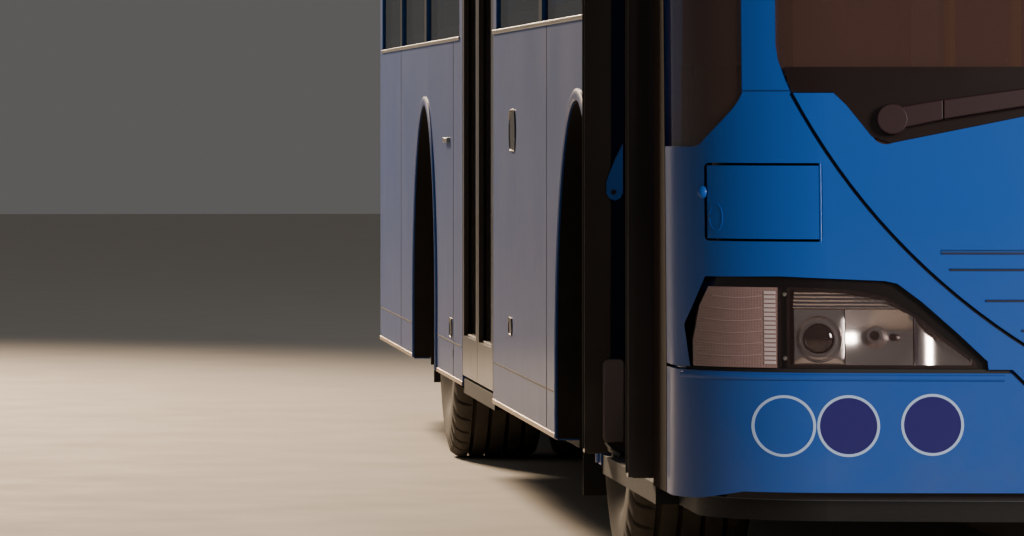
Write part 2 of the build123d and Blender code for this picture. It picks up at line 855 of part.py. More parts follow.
# Underframe: two rails with cross members under the low floor, and two high rails at the rear
rail_y = 480.0
rail_width = 80.0
rail_high = 100.0
tow_socket_radius = 21.0
tow_socket_depth = 120.0
rear_rail_low = rear_floor_z - floor_thick - 80.0
axle_room = 240.0
rail_front_x = front_x - 450.0
rail_rear_x = rear_x + 160.0
low_rails = [
    (front_axle_x + axle_room, rail_front_x),
    (step_x - floor_thick, front_axle_x - axle_room),
]
member_half = 40.0
member_high = 70.0
member_past = 50.0
low_members = [
    rail_front_x - 50,
    front_axle_x + 280,
    front_axle_x - 280,
    1500,
    500,
    -500,
    step_x + 140,
]
high_members = [rear_x + 200, deck_x + 80, step_x - 80]
with BuildPart() as underframe:
    for side in (-1, 1):
        low_y = side * rail_y - rail_width / 2
        high_y = side * rail_y + rail_width / 2
        for low_x, high_x in low_rails:
            add(slab((low_x, low_y, floor_low - rail_high), (high_x, high_y, floor_low)))
        add(
            slab(
                (rail_rear_x, low_y, rear_rail_low),
                (step_x - floor_thick, high_y, rear_floor_z - floor_thick),
            )
        )
    for x in low_members:
        add(
            slab(
                (x - member_half, -rail_y - member_past, floor_low - member_high),
                (x + member_half, rail_y + member_past, floor_low),
            )
        )
    for x in high_members:
        add(
            slab(
                (x - member_half, -rail_y, rear_rail_low),
                (x + member_half, rail_y, rear_floor_z - floor_thick),
            )
        )
    for side in (-1, 1):
        socket = Location((rail_front_x, side * rail_y, floor_low - rail_high / 2), (0, 90, 0))
        with Locations(socket):
            Cylinder(tow_socket_radius, 2 * tow_socket_depth, mode=Mode.SUBTRACT)
finish(underframe.part, "underframe")

engine_half = rail_y - rail_width / 2
engine_low = 330.0
engine_rear_x = rear_x + 420.0
engine_front_x = deck_x - 375.0
engine_top = deck_z - floor_thick - 20.0
with BuildPart() as engine_block:
    add(
        slab(
            (engine_rear_x, -engine_half, engine_low),
            (engine_front_x, engine_half, engine_top),
        )
    )
finish(engine_block.part, "engine_block")

# Front axle: a drop beam with an upright eye at each end for the kingpin
beam_low = 170.0
beam_high = 250.0
eye_low = 400.0
eye_high = 558.0
eye_radius = 45.0
kingpin_radius = 22.0
pin_clear = 0.4
beam_half = 50.0
beam_arm_half = 25.0
beam_arm_high = 60.0
beam_outline = [
    # in from the kingpin, height
    (kingpin_y, beam_low),
    (220, beam_low),
    (75, eye_low),
    (0, eye_low),
    (0, eye_high),
    (70, eye_high),
    (260, beam_high),
    (kingpin_y, beam_high),
    (kingpin_y, beam_low),
]
with BuildPart() as front_axle:
    with BuildSketch(Plane.YZ.offset(front_axle_x)):
        with BuildLine():
            Polyline(*[(kingpin_y - inward, height) for inward, height in beam_outline])
        make_face()
    extrude(amount=beam_half, both=True)
    with Locations((front_axle_x, kingpin_y, (eye_low + eye_high) / 2)):
        Cylinder(eye_radius, eye_high - eye_low)
        Cylinder(kingpin_radius + pin_clear, eye_high - eye_low, mode=Mode.SUBTRACT)
    mirror(about=Plane.XZ)
    for side in (-1, 1):
        for end in (-1, 1):
            near_x = front_axle_x + end * beam_half
            far_x = front_axle_x + end * (axle_room - seat_clear)
            low_x, high_x = sorted((near_x, far_x))
            add(
                slab(
                    (low_x, side * rail_y - beam_arm_half, beam_low),
                    (high_x, side * rail_y + beam_arm_half, beam_low + beam_arm_high),
                )
            )
finish(front_axle.part, "front_axle")

# Steering knuckles: a fork on the kingpin and a spindle that carries the wheel
spindle_radius = 38.0
spindle_start = kingpin_y + 70.0
spindle_end = wheel_y + 55.0
fork_thick = 36.0
fork_clear = 2.0
fork_long = 90.0
fork_wide = 118.0
fork_y = kingpin_y + 21.0
plate_long = 110.0
plate_thick = 30.0
plate_y = kingpin_y + 65.0
fork_z = (eye_low + eye_high) / 2
fork_high = eye_high - eye_low + 2 * fork_clear + 2 * fork_thick
for side, name in ((-1, "knuckle_right"), (1, "knuckle_left")):
    with BuildPart() as knuckle:
        for end in (-1, 1):
            prong_z = fork_z + end * (fork_high - fork_thick) / 2
            with Locations((front_axle_x, side * fork_y, prong_z)):
                Box(fork_long, fork_wide, fork_thick)
        with Locations((front_axle_x, side * plate_y, fork_z)):
            Box(plate_long, plate_thick, fork_high)
        with Locations((front_axle_x, side * kingpin_y, fork_z)):
            Cylinder(kingpin_radius, fork_high)
        spindle_middle = side * (spindle_start + spindle_end) / 2
        with Locations(Location((front_axle_x, spindle_middle, tyre_radius), (90, 0, 0))):
            Cylinder(spindle_radius, spindle_end - spindle_start)
    finish(knuckle.part, name)

# Wheels are stacks of short rings on the axle line, listed from the inside out as
# (start, end, outer radius, inner radius); the round bores take the spindles.
wheel_facets = 36
hub_facets = 20
rim_inner = rim_radius - 24.0
bead_half = 108.0
dish_radius = 225.0
twin_web = 14.0
axle_end_radius = 50.0


def ring_stack(rings, facets, side, centre_y, axle_x):
    """Join short rings along an axle line; side is +1 where out is towards +Y."""
    with BuildPart() as stack:
        for start, end, outer, inner in rings:
            start_plane = Plane(
                origin=(axle_x, centre_y + side * start, tyre_radius), x_dir=(1, 0, 0), z_dir=(0, side, 0)
            )
            with BuildSketch(start_plane):
                RegularPolygon(outer, facets)
                if inner:
                    RegularPolygon(inner, facets, mode=Mode.SUBTRACT)
            extrude(amount=end - start)
    return stack.part


def tyre(centre_y, axle_x):
    """A plain tyre: flat tread, upright side walls and the seat for its rim."""
    with BuildPart() as ring:
        with Locations(Location((axle_x, centre_y, tyre_radius), (90, 0, 0))):
            Cylinder(tyre_radius, tyre_width)
            Cylinder(rim_radius + seat_clear, tyre_width, mode=Mode.SUBTRACT)
    return ring.part


def bored(part, radius, reach, side, centre_y, axle_x):
    """Cut a round bore along the axle line between two distances from the wheel's middle."""
    start, end = reach
    with BuildPart() as wheel:
        add(part)
        middle = centre_y + side * (start + end) / 2
        with Locations(Location((axle_x, middle, tyre_radius), (90, 0, 0))):
            Cylinder(radius, end - start, mode=Mode.SUBTRACT)
    return wheel.part


bore_front = spindle_radius + pin_clear
bore_rear = axle_end_radius + pin_clear
twin_half = twin_spacing / 2
front_hub_ring = (-70.0, 124.0, 90.0, 0)
front_bore = (-70.0, 60.0)
rear_hub_ring = (-130.0, 170.0, 112.0, 0)
rear_bore = (-130.0, 110.0)
front_rim_rings = [
    (-bead_half, 50, rim_radius, rim_inner),
    (50, 74, rim_radius, 0),
    (74, bead_half, rim_radius, rim_inner),
]
rear_rim_rings = [
    (-twin_half - bead_half, bead_half - twin_half, rim_radius, rim_inner),
    (bead_half - twin_half, -twin_web, rim_inner, dish_radius),
    (-twin_web, twin_web, rim_inner, 0),
    (twin_web, twin_half - bead_half, rim_inner, dish_radius),
    (twin_half - bead_half, twin_half + bead_half, rim_radius, rim_inner),
]
for side, hand in ((-1, "right"), (1, "left")):
    wheel_centre = side * wheel_y
    twin_centre = side * twin_track / 2
    with BuildPart() as front_rim:
        add(ring_stack(front_rim_rings, wheel_facets, side, wheel_centre, front_axle_x))
        add(ring_stack([front_hub_ring], hub_facets, side, wheel_centre, front_axle_x))
    finish(
        bored(front_rim.part, bore_front, front_bore, side, wheel_centre, front_axle_x),
        f"front_rim_{hand}",
    )
    with BuildPart() as rear_rims:
        add(ring_stack(rear_rim_rings, wheel_facets, side, twin_centre, rear_axle_x))
        add(ring_stack([rear_hub_ring], hub_facets, side, twin_centre, rear_axle_x))
    finish(
        bored(rear_rims.part, bore_rear, rear_bore, side, twin_centre, rear_axle_x),
        f"rear_rims_{hand}",
    )
    finish(tyre(wheel_centre, front_axle_x), f"front_tyre_{hand}")
    with BuildPart() as twin_tyres:
        add(tyre(twin_centre + twin_half, rear_axle_x))
        add(tyre(twin_centre - twin_half, rear_axle_x))
    finish(twin_tyres.part, f"rear_tyres_{hand}")

# Rear axle: a banjo housing with spring seats, and the air springs that hold up the frame
spring_arm_reach = 450.0
spring_arm_wide = 90.0
spring_arm_high = 70.0
axle_tube_radius = 85.0
axle_end = twin_track / 2 + 100.0
rear_axle_rings = [
    # start, end, outer radius, inner radius
    (-190, -110, 125, 0),
    (-110, 110, 165, 0),
    (110, 190, 125, 0),
]
axle_tube_rings = [(-560, 560, axle_tube_radius, 0)]
with BuildPart() as rear_axle:
    with Locations(Location((rear_axle_x, 0, tyre_radius), (90, 0, 0))):
        Cylinder(axle_end_radius, 2 * axle_end)
    add(ring_stack(axle_tube_rings, hub_facets, 1, 0, rear_axle_x))
    add(ring_stack(rear_axle_rings, hub_facets, 1, 0, rear_axle_x))
    for side in (-1, 1):
        with Locations((rear_axle_x, side * rail_y, tyre_radius - axle_tube_radius)):
            Box(2 * spring_arm_reach, spring_arm_wide, spring_arm_high)
finish(rear_axle.part, "rear_axle")

spring_low = tyre_radius - axle_tube_radius + spring_arm_high / 2
spring_radius = 95.0
spring_half = 360.0
with BuildPart() as air_springs:
    with BuildSketch(Plane.XY.offset(spring_low)):
        for side in (-1, 1):
            for end in (-1, 1):
                with Locations((rear_axle_x + end * spring_half, side * rail_y)):
                    RegularPolygon(spring_radius, hub_facets)
    extrude(amount=rear_rail_low - spring_low)
finish(air_springs.part, "air_springs")

# Driver's place
dash_half = 1180.0
dash_outline = [
    # back from the front face, height
    (0, floor_z),
    (0, 1010),
    (420, 1010),
    (640, 900),
    (640, 860),
    (430, 760),
    (400, floor_z),
    (0, floor_z),
]
with BuildPart() as dashboard:
    with BuildSketch(Plane.XZ):
        with BuildLine():
            Polyline(*[(front_x - back, height) for back, height in dash_outline])
        make_face()
    extrude(amount=dash_half, both=True)
    add(vertical_form(wall + seat_clear, under_z, roof_z), mode=Mode.INTERSECT)
    add(leaning_form(wall + seat_clear, under_z), mode=Mode.INTERSECT)
finish(dashboard.part, "dashboard")

driver_y = 720.0
steer_x = front_x - 690.0
steer_z = 1050.0
steer_tilt = radians(30)
steer_facets = 32
steer_outer = 225.0
steer_inner = 198.0
steer_thick = 26.0
spoke_long = 420.0
spoke_wide = 44.0
horn_long = 110.0
horn_wide = 90.0
column_side = 56.0
column_long = 260.0
with BuildPart() as steering_wheel:
    wheel_plane = Plane(
        origin=(steer_x, driver_y, steer_z),
        x_dir=(0, 1, 0),
        z_dir=(-sin(steer_tilt), 0, cos(steer_tilt)),
    )
    with BuildSketch(wheel_plane):
        RegularPolygon(steer_outer, steer_facets)
        RegularPolygon(steer_inner, steer_facets, mode=Mode.SUBTRACT)
        Rectangle(spoke_long, spoke_wide)
        Rectangle(horn_long, horn_wide)
    extrude(amount=steer_thick)
    with BuildSketch(wheel_plane):
        Rectangle(column_side, column_side)
    extrude(amount=-column_long)
    add(dashboard.part, mode=Mode.SUBTRACT)
finish(steering_wheel.part, "steering_wheel")


seat_outline = [
    # forward, up, share of the back's height added to it
    (60, 0, 0),
    (90, 330, 0),
    (250, 350, 0),
    (250, 430, 0),
    (-130, 410, 0),
    (-230, 0, 1),
    (-280, -10, 1),
    (-190, 330, 0),
    (-90, 330, 0),
    (-120, 0, 0),
    (60, 0, 0),
]


def seat(x, y, z, seat_width, facing, back_height):
    """A seat from the side: pedestal, cushion and back; facing is +1 when it looks forward."""
    points = [
        (x + facing * forward, z + up + share * back_height)
        for forward, up, share in seat_outline
    ]
    with BuildPart() as chair:
        with BuildSketch(Plane.XZ.offset(-y - seat_width / 2)):
            with BuildLine():
                Polyline(*points)
            make_face()
        extrude(amount=seat_width)
    return chair.part


driver_seat_x = front_x - 1330.0
driver_seat_width = 480.0
driver_back = 1130.0
with BuildPart() as driver_seat:
    add(seat(driver_seat_x, driver_y, driver_floor_z, driver_seat_width, 1, driver_back))
finish(driver_seat.part, "driver_seat")

pair_width = 860.0
pair_back = 900.0
seat_rows = [
    # place along the bus, side, floor height, which way it faces
    (front_axle_x - 1150, -1, floor_z, 1),
    (front_axle_x - 1950, -1, floor_z, 1),
    (front_axle_x - 1150, 1, floor_z, 1),
    (front_axle_x - 1950, 1, floor_z, 1),
    (front_axle_x - 2750, 1, floor_z, 1),
    (rear_axle_x + 980, -1, floor_z, -1),
    (rear_axle_x + 980, 1, floor_z, -1),
    (rear_axle_x - 880, -1, rear_floor_z, 1),
    (rear_axle_x - 880, 1, rear_floor_z, 1),
    (deck_x - 775, -1, deck_z, 1),
    (deck_x - 775, 1, deck_z, 1),
    (rear_x + 600, -1, deck_z, 1),
    (rear_x + 600, 1, deck_z, 1),
]
seat_y = inner_y - 60.0 - pair_width / 2
with BuildPart() as passenger_seats:
    for x, side, z, facing in seat_rows:
        add(seat(x, side * seat_y, z, pair_width, facing, pair_back))
finish(passenger_seats.part, "passenger_seats")

# Grab poles run from the floor to the ceiling beside the aisle.
pole_radius = 17.0
pole_facets = 10
aisle_y = seat_y - pair_width / 2 - pole_radius - 3.0
poles = [
    # place along the bus, place across it, floor height
    (front_x - 2090, -600, floor_z),
    (front_x - 2090, 230, floor_z),
    (front_x - 3560, aisle_y, floor_z),
    (front_x - 4350, -aisle_y, floor_z),
    (front_x - 5350, -700, floor_z),
    (front_x - 6130, 0, floor_z),
    (front_x - 6900, -aisle_y, floor_z),
    (front_x - 6900, aisle_y, floor_z),
    (rear_axle_x - 700, -aisle_y, rear_floor_z),
    (rear_axle_x - 700, aisle_y, rear_floor_z),
    (rear_x + 1150, -aisle_y, deck_z),
    (rear_x + 1150, aisle_y, deck_z),
]
ceiling_z = roof_z - wall
with BuildPart() as grab_poles:
    for x, y, z in poles:
        with BuildSketch(Plane.XY.offset(z)):
            with Locations((x, y)):
                RegularPolygon(pole_radius, pole_facets)
        extrude(amount=ceiling_z - z)
finish(grab_poles.part, "grab_poles")

# Outside fittings
roof_unit_half = 820.0
roof_unit_top = 3040.0
roof_unit_outline = [
    (-900, roof_z),
    (-820, roof_unit_top),
    (1300, roof_unit_top),
    (1480, roof_z),
    (-900, roof_z),
]
with BuildPart() as roof_unit:
    with BuildSketch(Plane.XZ):
        with BuildLine():
            Polyline(*roof_unit_outline)
        make_face()
    extrude(amount=roof_unit_half, both=True)
finish(roof_unit.part, "roof_unit")

mirror_arm_foot = (front_x - 480.0, side_y - 60.0, 2540.0)
mirror_arm_way = (0.75, 0.62, -0.2)
mirror_arm_radius = 18.0
mirror_arm_long = 360.0
mirror_head = (front_x - 250.0, side_y + 145.0, 2270.0)
mirror_deep = 110.0
mirror_wide = 190.0
mirror_high = 400.0
mirror_corner = 25.0
with BuildPart() as mirrors:
    with BuildSketch(Plane(origin=mirror_arm_foot, z_dir=mirror_arm_way)):
        RegularPolygon(mirror_arm_radius, pole_facets)
    extrude(amount=mirror_arm_long)
    with Locations(mirror_head):
        Box(mirror_deep, mirror_wide, mirror_high)
    chamfer(mirrors.edges().filter_by(Axis.Z).group_by(SortBy.LENGTH)[-1], mirror_corner)
    add(outer_form, mode=Mode.SUBTRACT)
    mirror(about=Plane.XZ)
finish(mirrors.part, "mirrors")

# Wipers park along the foot of the windscreen, one hub on each side, standing off the glass.
wiper_skin_out = 26.0
wiper_skin_in = 4.0
wiper_hub = (-883.0, 1016.0)
wiper_tip = (-70.0, 1145.0)
wiper_foot_half = 18.0
wiper_tip_half = 12.0
hub_radius = 30.0
wiper_front_x = front_x + 60.0
over_wiper = leaning_form(-wiper_skin_out)
with BuildPart() as wipers:
    add(over_wiper)
    add(leaning_form(-wiper_skin_in, lean_z - wall), mode=Mode.SUBTRACT)
    add(
        front_view(
            [
                (wiper_hub[0], wiper_hub[1] - wiper_foot_half),
                (wiper_hub[0], wiper_hub[1] + wiper_foot_half),
                (wiper_tip[0], wiper_tip[1] + wiper_tip_half),
                (wiper_tip[0], wiper_tip[1] - wiper_tip_half),
            ],
            module_x,
            wiper_front_x,
        ),
        mode=Mode.INTERSECT,
    )
    with BuildPart(mode=Mode.PRIVATE) as hub:
        add(over_wiper)
        with BuildSketch(Plane.YZ.offset(module_x)):
            with Locations(wiper_hub):
                RegularPolygon(hub_radius, hub_facets)
        extrude(amount=wiper_front_x - module_x, mode=Mode.INTERSECT)
        add(leaning_form(glass_inset, lean_z - wall), mode=Mode.SUBTRACT)
    add(hub.part)
    mirror(about=Plane.XZ)
finish(wipers.part, "wipers")

box_half = 820.0
box_low = 2230.0
box_high = header_z + 20.0
box_rear_x = front_x - 640.0
box_front_x = front_x - 250.0
with BuildPart() as destination_box:
    add(slab((box_rear_x, -box_half, box_low), (box_front_x, box_half, box_high)))
    add(leaning_form(wall + seat_clear), mode=Mode.INTERSECT)
finish(destination_box.part, "destination_box")
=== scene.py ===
"""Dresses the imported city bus: finishes for the CAD pieces and the small pieces the CAD leaves out.

Everything is in metres in the frame's own axes: +X is forward, +Y is the driver's side and +Z
is up, with the origin on the road under the middle of the bus.
"""

from __future__ import annotations

import json
import logging
import math
from dataclasses import dataclass
from enum import Enum
from typing import Any, Callable, ClassVar, Iterable, Sequence

import bmesh
import bpy
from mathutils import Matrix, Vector

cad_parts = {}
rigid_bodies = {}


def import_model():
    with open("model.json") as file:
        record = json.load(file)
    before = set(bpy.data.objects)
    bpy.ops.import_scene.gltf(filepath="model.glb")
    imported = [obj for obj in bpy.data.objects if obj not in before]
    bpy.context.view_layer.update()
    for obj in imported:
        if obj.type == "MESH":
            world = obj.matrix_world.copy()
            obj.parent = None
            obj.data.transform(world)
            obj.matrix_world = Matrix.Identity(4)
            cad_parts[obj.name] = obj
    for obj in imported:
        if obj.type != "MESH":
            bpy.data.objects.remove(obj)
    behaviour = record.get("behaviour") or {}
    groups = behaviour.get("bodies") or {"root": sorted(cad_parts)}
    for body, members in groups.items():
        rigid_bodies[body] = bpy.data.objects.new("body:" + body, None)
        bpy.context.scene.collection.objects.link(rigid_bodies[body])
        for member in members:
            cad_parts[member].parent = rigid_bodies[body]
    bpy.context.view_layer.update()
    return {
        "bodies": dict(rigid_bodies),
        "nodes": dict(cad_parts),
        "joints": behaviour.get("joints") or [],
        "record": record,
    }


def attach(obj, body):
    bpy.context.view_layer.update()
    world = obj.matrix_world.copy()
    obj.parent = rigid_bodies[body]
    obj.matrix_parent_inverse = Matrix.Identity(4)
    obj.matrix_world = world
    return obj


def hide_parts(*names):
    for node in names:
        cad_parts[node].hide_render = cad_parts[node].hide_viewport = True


LOG = logging.getLogger("city_bus")
Pair = tuple[float, float]
Triple = tuple[float, float, float]
Tree = bpy.types.NodeTree
Socket = bpy.types.NodeSocket
Settings = dict[Any, Any]
Place = Callable[[float, float, float], Vector]

UP = Vector((0.0, 0.0, 1.0))
AXLES: Pair = (3.27, -2.575)
AXLE_Z = 0.479
# A wave texture repeats every millimetre at this scale.
WAVE_SCALE = 314.0
# How far in from the outer faces the fired bands under the glass start and end.
UNDER_GLASS: Pair = (-0.0155, -0.0175)
# Half the width of the sealant in a front seam, and where its outer and inner faces lie.
SEALANT: Triple = (0.0034, -0.0085, -0.0138)


def linear(hex_colour: str) -> tuple[float, float, float, float]:
    """Turn an sRGB hex colour into the linear values that shaders take.

    Args:
        hex_colour: six hex digits after a hash sign.

    Returns:
        Linear red, green and blue, and an alpha of 1.
    """
    channels = []
    for start in (1, 3, 5):
        value = int(hex_colour[start : start + 2], 16) / 255
        channels.append(value / 12.92 if value <= 0.04045 else ((value + 0.055) / 1.055) ** 2.4)
    return (channels[0], channels[1], channels[2], 1.0)


def add_node(tree: Tree, kind: str, settings: Settings | None = None, links: Settings | None = None) -> Any:
    """Add one shader node with its settings and the links into it.

    Args:
        tree: the material's node tree.
        kind: the node's Blender type, without its leading "ShaderNode".
        settings: values by socket name or number, or by property name.
        links: the output socket to join to each named or numbered input.

    Returns:
        The new node.
    """
    node = tree.nodes.new(f"ShaderNode{kind}")
    for name, value in (settings or {}).items():
        if isinstance(name, str) and hasattr(node, name):
            setattr(node, name, value)
        else:
            node.inputs[name].default_value = value
    for name, source in (links or {}).items():
        tree.links.new(source, node.inputs[name])
    return node


def noise(tree: Tree, place: Socket, scale: float, detail: float, roughness: float) -> Socket:
    """Return a noise's value, from 0 to 1."""
    settings = {"Scale": scale, "Detail": detail, "Roughness": roughness}
    return add_node(tree, "TexNoise", settings, {"Vector": place}).outputs["Fac"]


def mixed(tree: Tree, amount: Socket, first: str | Socket, second: str) -> Socket:
    """Return two colours mixed by an amount; the first may be a hex value or a socket."""
    settings: Settings = {"data_type": "RGBA", 7: linear(second)}
    links: Settings = {"Factor": amount}
    if isinstance(first, str):
        settings[6] = linear(first)
    else:
        links[6] = first
    return add_node(tree, "Mix", settings, links).outputs[2]


def waves(tree: Tree, place: Socket, axes: str, size_mm: float, distortion: float, operation: str) -> Socket:
    """Return rows of waves along two axes, joined by one maths operation."""
    bands = {}
    for number, axis in enumerate(axes):
        settings = {"bands_direction": axis, "Scale": WAVE_SCALE / size_mm, "Distortion": distortion}
        bands[number] = add_node(tree, "TexWave", settings, {"Vector": place}).outputs["Fac"]
    return add_node(tree, "Math", {"operation": operation}, bands).outputs[0]


def height_of(tree: Tree, place: Socket) -> Socket:
    """Return the height above the road."""
    return add_node(tree, "SeparateXYZ", {}, {"Vector": place}).outputs["Z"]


class Weather(Enum):
    """How much road film a finish carries."""

    CLEAN = 0.0
    LIGHT = 0.35
    HEAVY = 0.8


@dataclass(frozen=True)
class Finish:
    """A material named for what it is and how its surface was made.

    The base colour, the gloss and the clear coat are typical values for the material, matched
    to the object; a few colours carry painted shade, painted shadow or a painted reflection, as said where
    they are listed. The bump is a noise or a weave whose size and depth are real ones.
    """

    name: str
    colour: str
    shade: str
    roughness: float = 0.5
    metallic: float = 0.0
    ior: float = 1.5
    coat: float = 0.0
    grain_mm: Pair = (4.0, 0.05)
    mottle_mm: float = 400.0
    weather: Weather = Weather.CLEAN
    mottling: ClassVar[Pair] = (4.0, 0.6)

    def texture(self, tree: Tree, place: Socket) -> Socket:
        """Return the height of the finish's fine surface, from 0 to 1."""
        return noise(tree, place, 1000 / self.grain_mm[0], 3.0, 0.55)

    def surface(self, tree: Tree, place: Socket, mottle: Socket, colour: Socket) -> tuple[Settings, Settings]:
        """Return the shader's settings and links: an opaque surface, with its road film.

        Args:
            tree: the material's node tree.
            place: the object coordinates.
            mottle: the slow variation over the surface.
            colour: the clean colour.

        Returns:
            The settings by socket name, and the links by socket name.
        """
        reach = {"To Min": self.roughness * 0.85, "To Max": min(1.0, self.roughness * 1.2)}
        rough = add_node(tree, "MapRange", reach, {"Value": mottle}).outputs["Result"]
        if self.weather is not Weather.CLEAN:
            colour, rough = self.road_film(tree, place, colour, rough)
        settings = {"Metallic": self.metallic, "Coat Weight": self.coat, "Coat Roughness": 0.06}
        return settings, {"Base Color": colour, "Roughness": rough}

    def build(self) -> bpy.types.Material:
        """Make the Blender material.

        Returns:
            A material with a Principled shader, colour variation and bump.
        """
        material = bpy.data.materials.new(self.name)
        material.use_nodes = True
        material.diffuse_color = linear(self.colour)
        tree = material.node_tree
        tree.nodes.clear()
        place = add_node(tree, "TexCoord").outputs["Object"]
        mottle = noise(tree, place, 1000 / self.mottle_mm, *self.mottling)
        colour = mixed(tree, mottle, self.colour, self.shade)
        relief = {"Distance": self.grain_mm[1] / 1000, "Strength": 1.0}
        bump = add_node(tree, "Bump", relief, {"Height": self.texture(tree, place)}).outputs["Normal"]
        settings, links = self.surface(tree, place, mottle, colour)
        shader = add_node(tree, "BsdfPrincipled", {"IOR": self.ior, **settings}, {**links, "Normal": bump})
        add_node(tree, "OutputMaterial", {}, {"Surface": shader.outputs["BSDF"]})
        return material

    def road_film(self, tree: Tree, place: Socket, colour: Socket, rough: Socket) -> tuple[Socket, Socket]:
        """Lay dust over the lowest part of the bus, broken up by splashes.

        Args:
            tree: the material's node tree.
            place: the object coordinates.
            colour: the clean colour.
            rough: the clean roughness.

        Returns:
            The colour and the roughness with the film on.
        """
        span = {"From Min": 0.15, "From Max": 0.85, "To Min": self.weather.value, "To Max": 0.0}
        fade = add_node(tree, "MapRange", span, {"Value": height_of(tree, place)}).outputs["Result"]
        splash = noise(tree, place, 9.0, 8.0, 0.7)
        amount = add_node(tree, "Math", {"operation": "MULTIPLY"}, {0: fade, 1: splash}).outputs[0]
        dull = add_node(tree, "Mix", {"data_type": "FLOAT", 3: 0.8}, {"Factor": amount, 2: rough})
        return mixed(tree, amount, colour, "#6d655b"), dull.outputs[0]


@dataclass(frozen=True)
class Woven(Finish):
    """Moquette: short cut pile in rows, which shows as a soft grid at arm's length."""

    thread_mm: float = 3.0

    def texture(self, tree: Tree, place: Socket) -> Socket:
        """Return the pile's rows, drawn by two crossed waves."""
        return waves(tree, place, "XZ", self.thread_mm, 0.6, "MULTIPLY")


@dataclass(frozen=True)
class Ribbed(Finish):
    """Moulded lamp plastic with prisms in rows across it, which break up what lies behind."""

    rib_mm: float = 6.0

    def texture(self, tree: Tree, place: Socket) -> Socket:
        """Return the prisms' height from waves along the bus's width and height."""
        return waves(tree, place, "YZ", self.rib_mm, 0.0, "MAXIMUM")


@dataclass(frozen=True)
class Decked(Finish):
    """Safety vinyl on a deck whose edges and underside carry black underseal."""

    deck_z: float = 0.2985

    def road_film(self, tree: Tree, place: Socket, colour: Socket, rough: Socket) -> tuple[Socket, Socket]:
        """Blacken all that lies under the deck's top; the arguments are those of any finish."""
        limits = {"operation": "LESS_THAN", 1: self.deck_z}
        under = add_node(tree, "Math", limits, {0: height_of(tree, place)}).outputs[0]
        return mixed(tree, under, colour, "#0b0a0a"), rough


@dataclass(frozen=True)
class Glazing(Finish):
    """Float glass, tinted in the melt: see-through, with a sharp reflection on both faces."""

    clear: float = 0.6
    mottling: ClassVar[Pair] = (3.0, 0.5)

    def surface(self, tree: Tree, place: Socket, mottle: Socket, colour: Socket) -> tuple[Settings, Settings]:
        """Return a thin see-through surface's settings and links."""
        settings = {"Roughness": self.roughness, "Specular IOR Level": 0.9, "Alpha": 1.0 - self.clear}
        return settings, {"Base Color": colour}


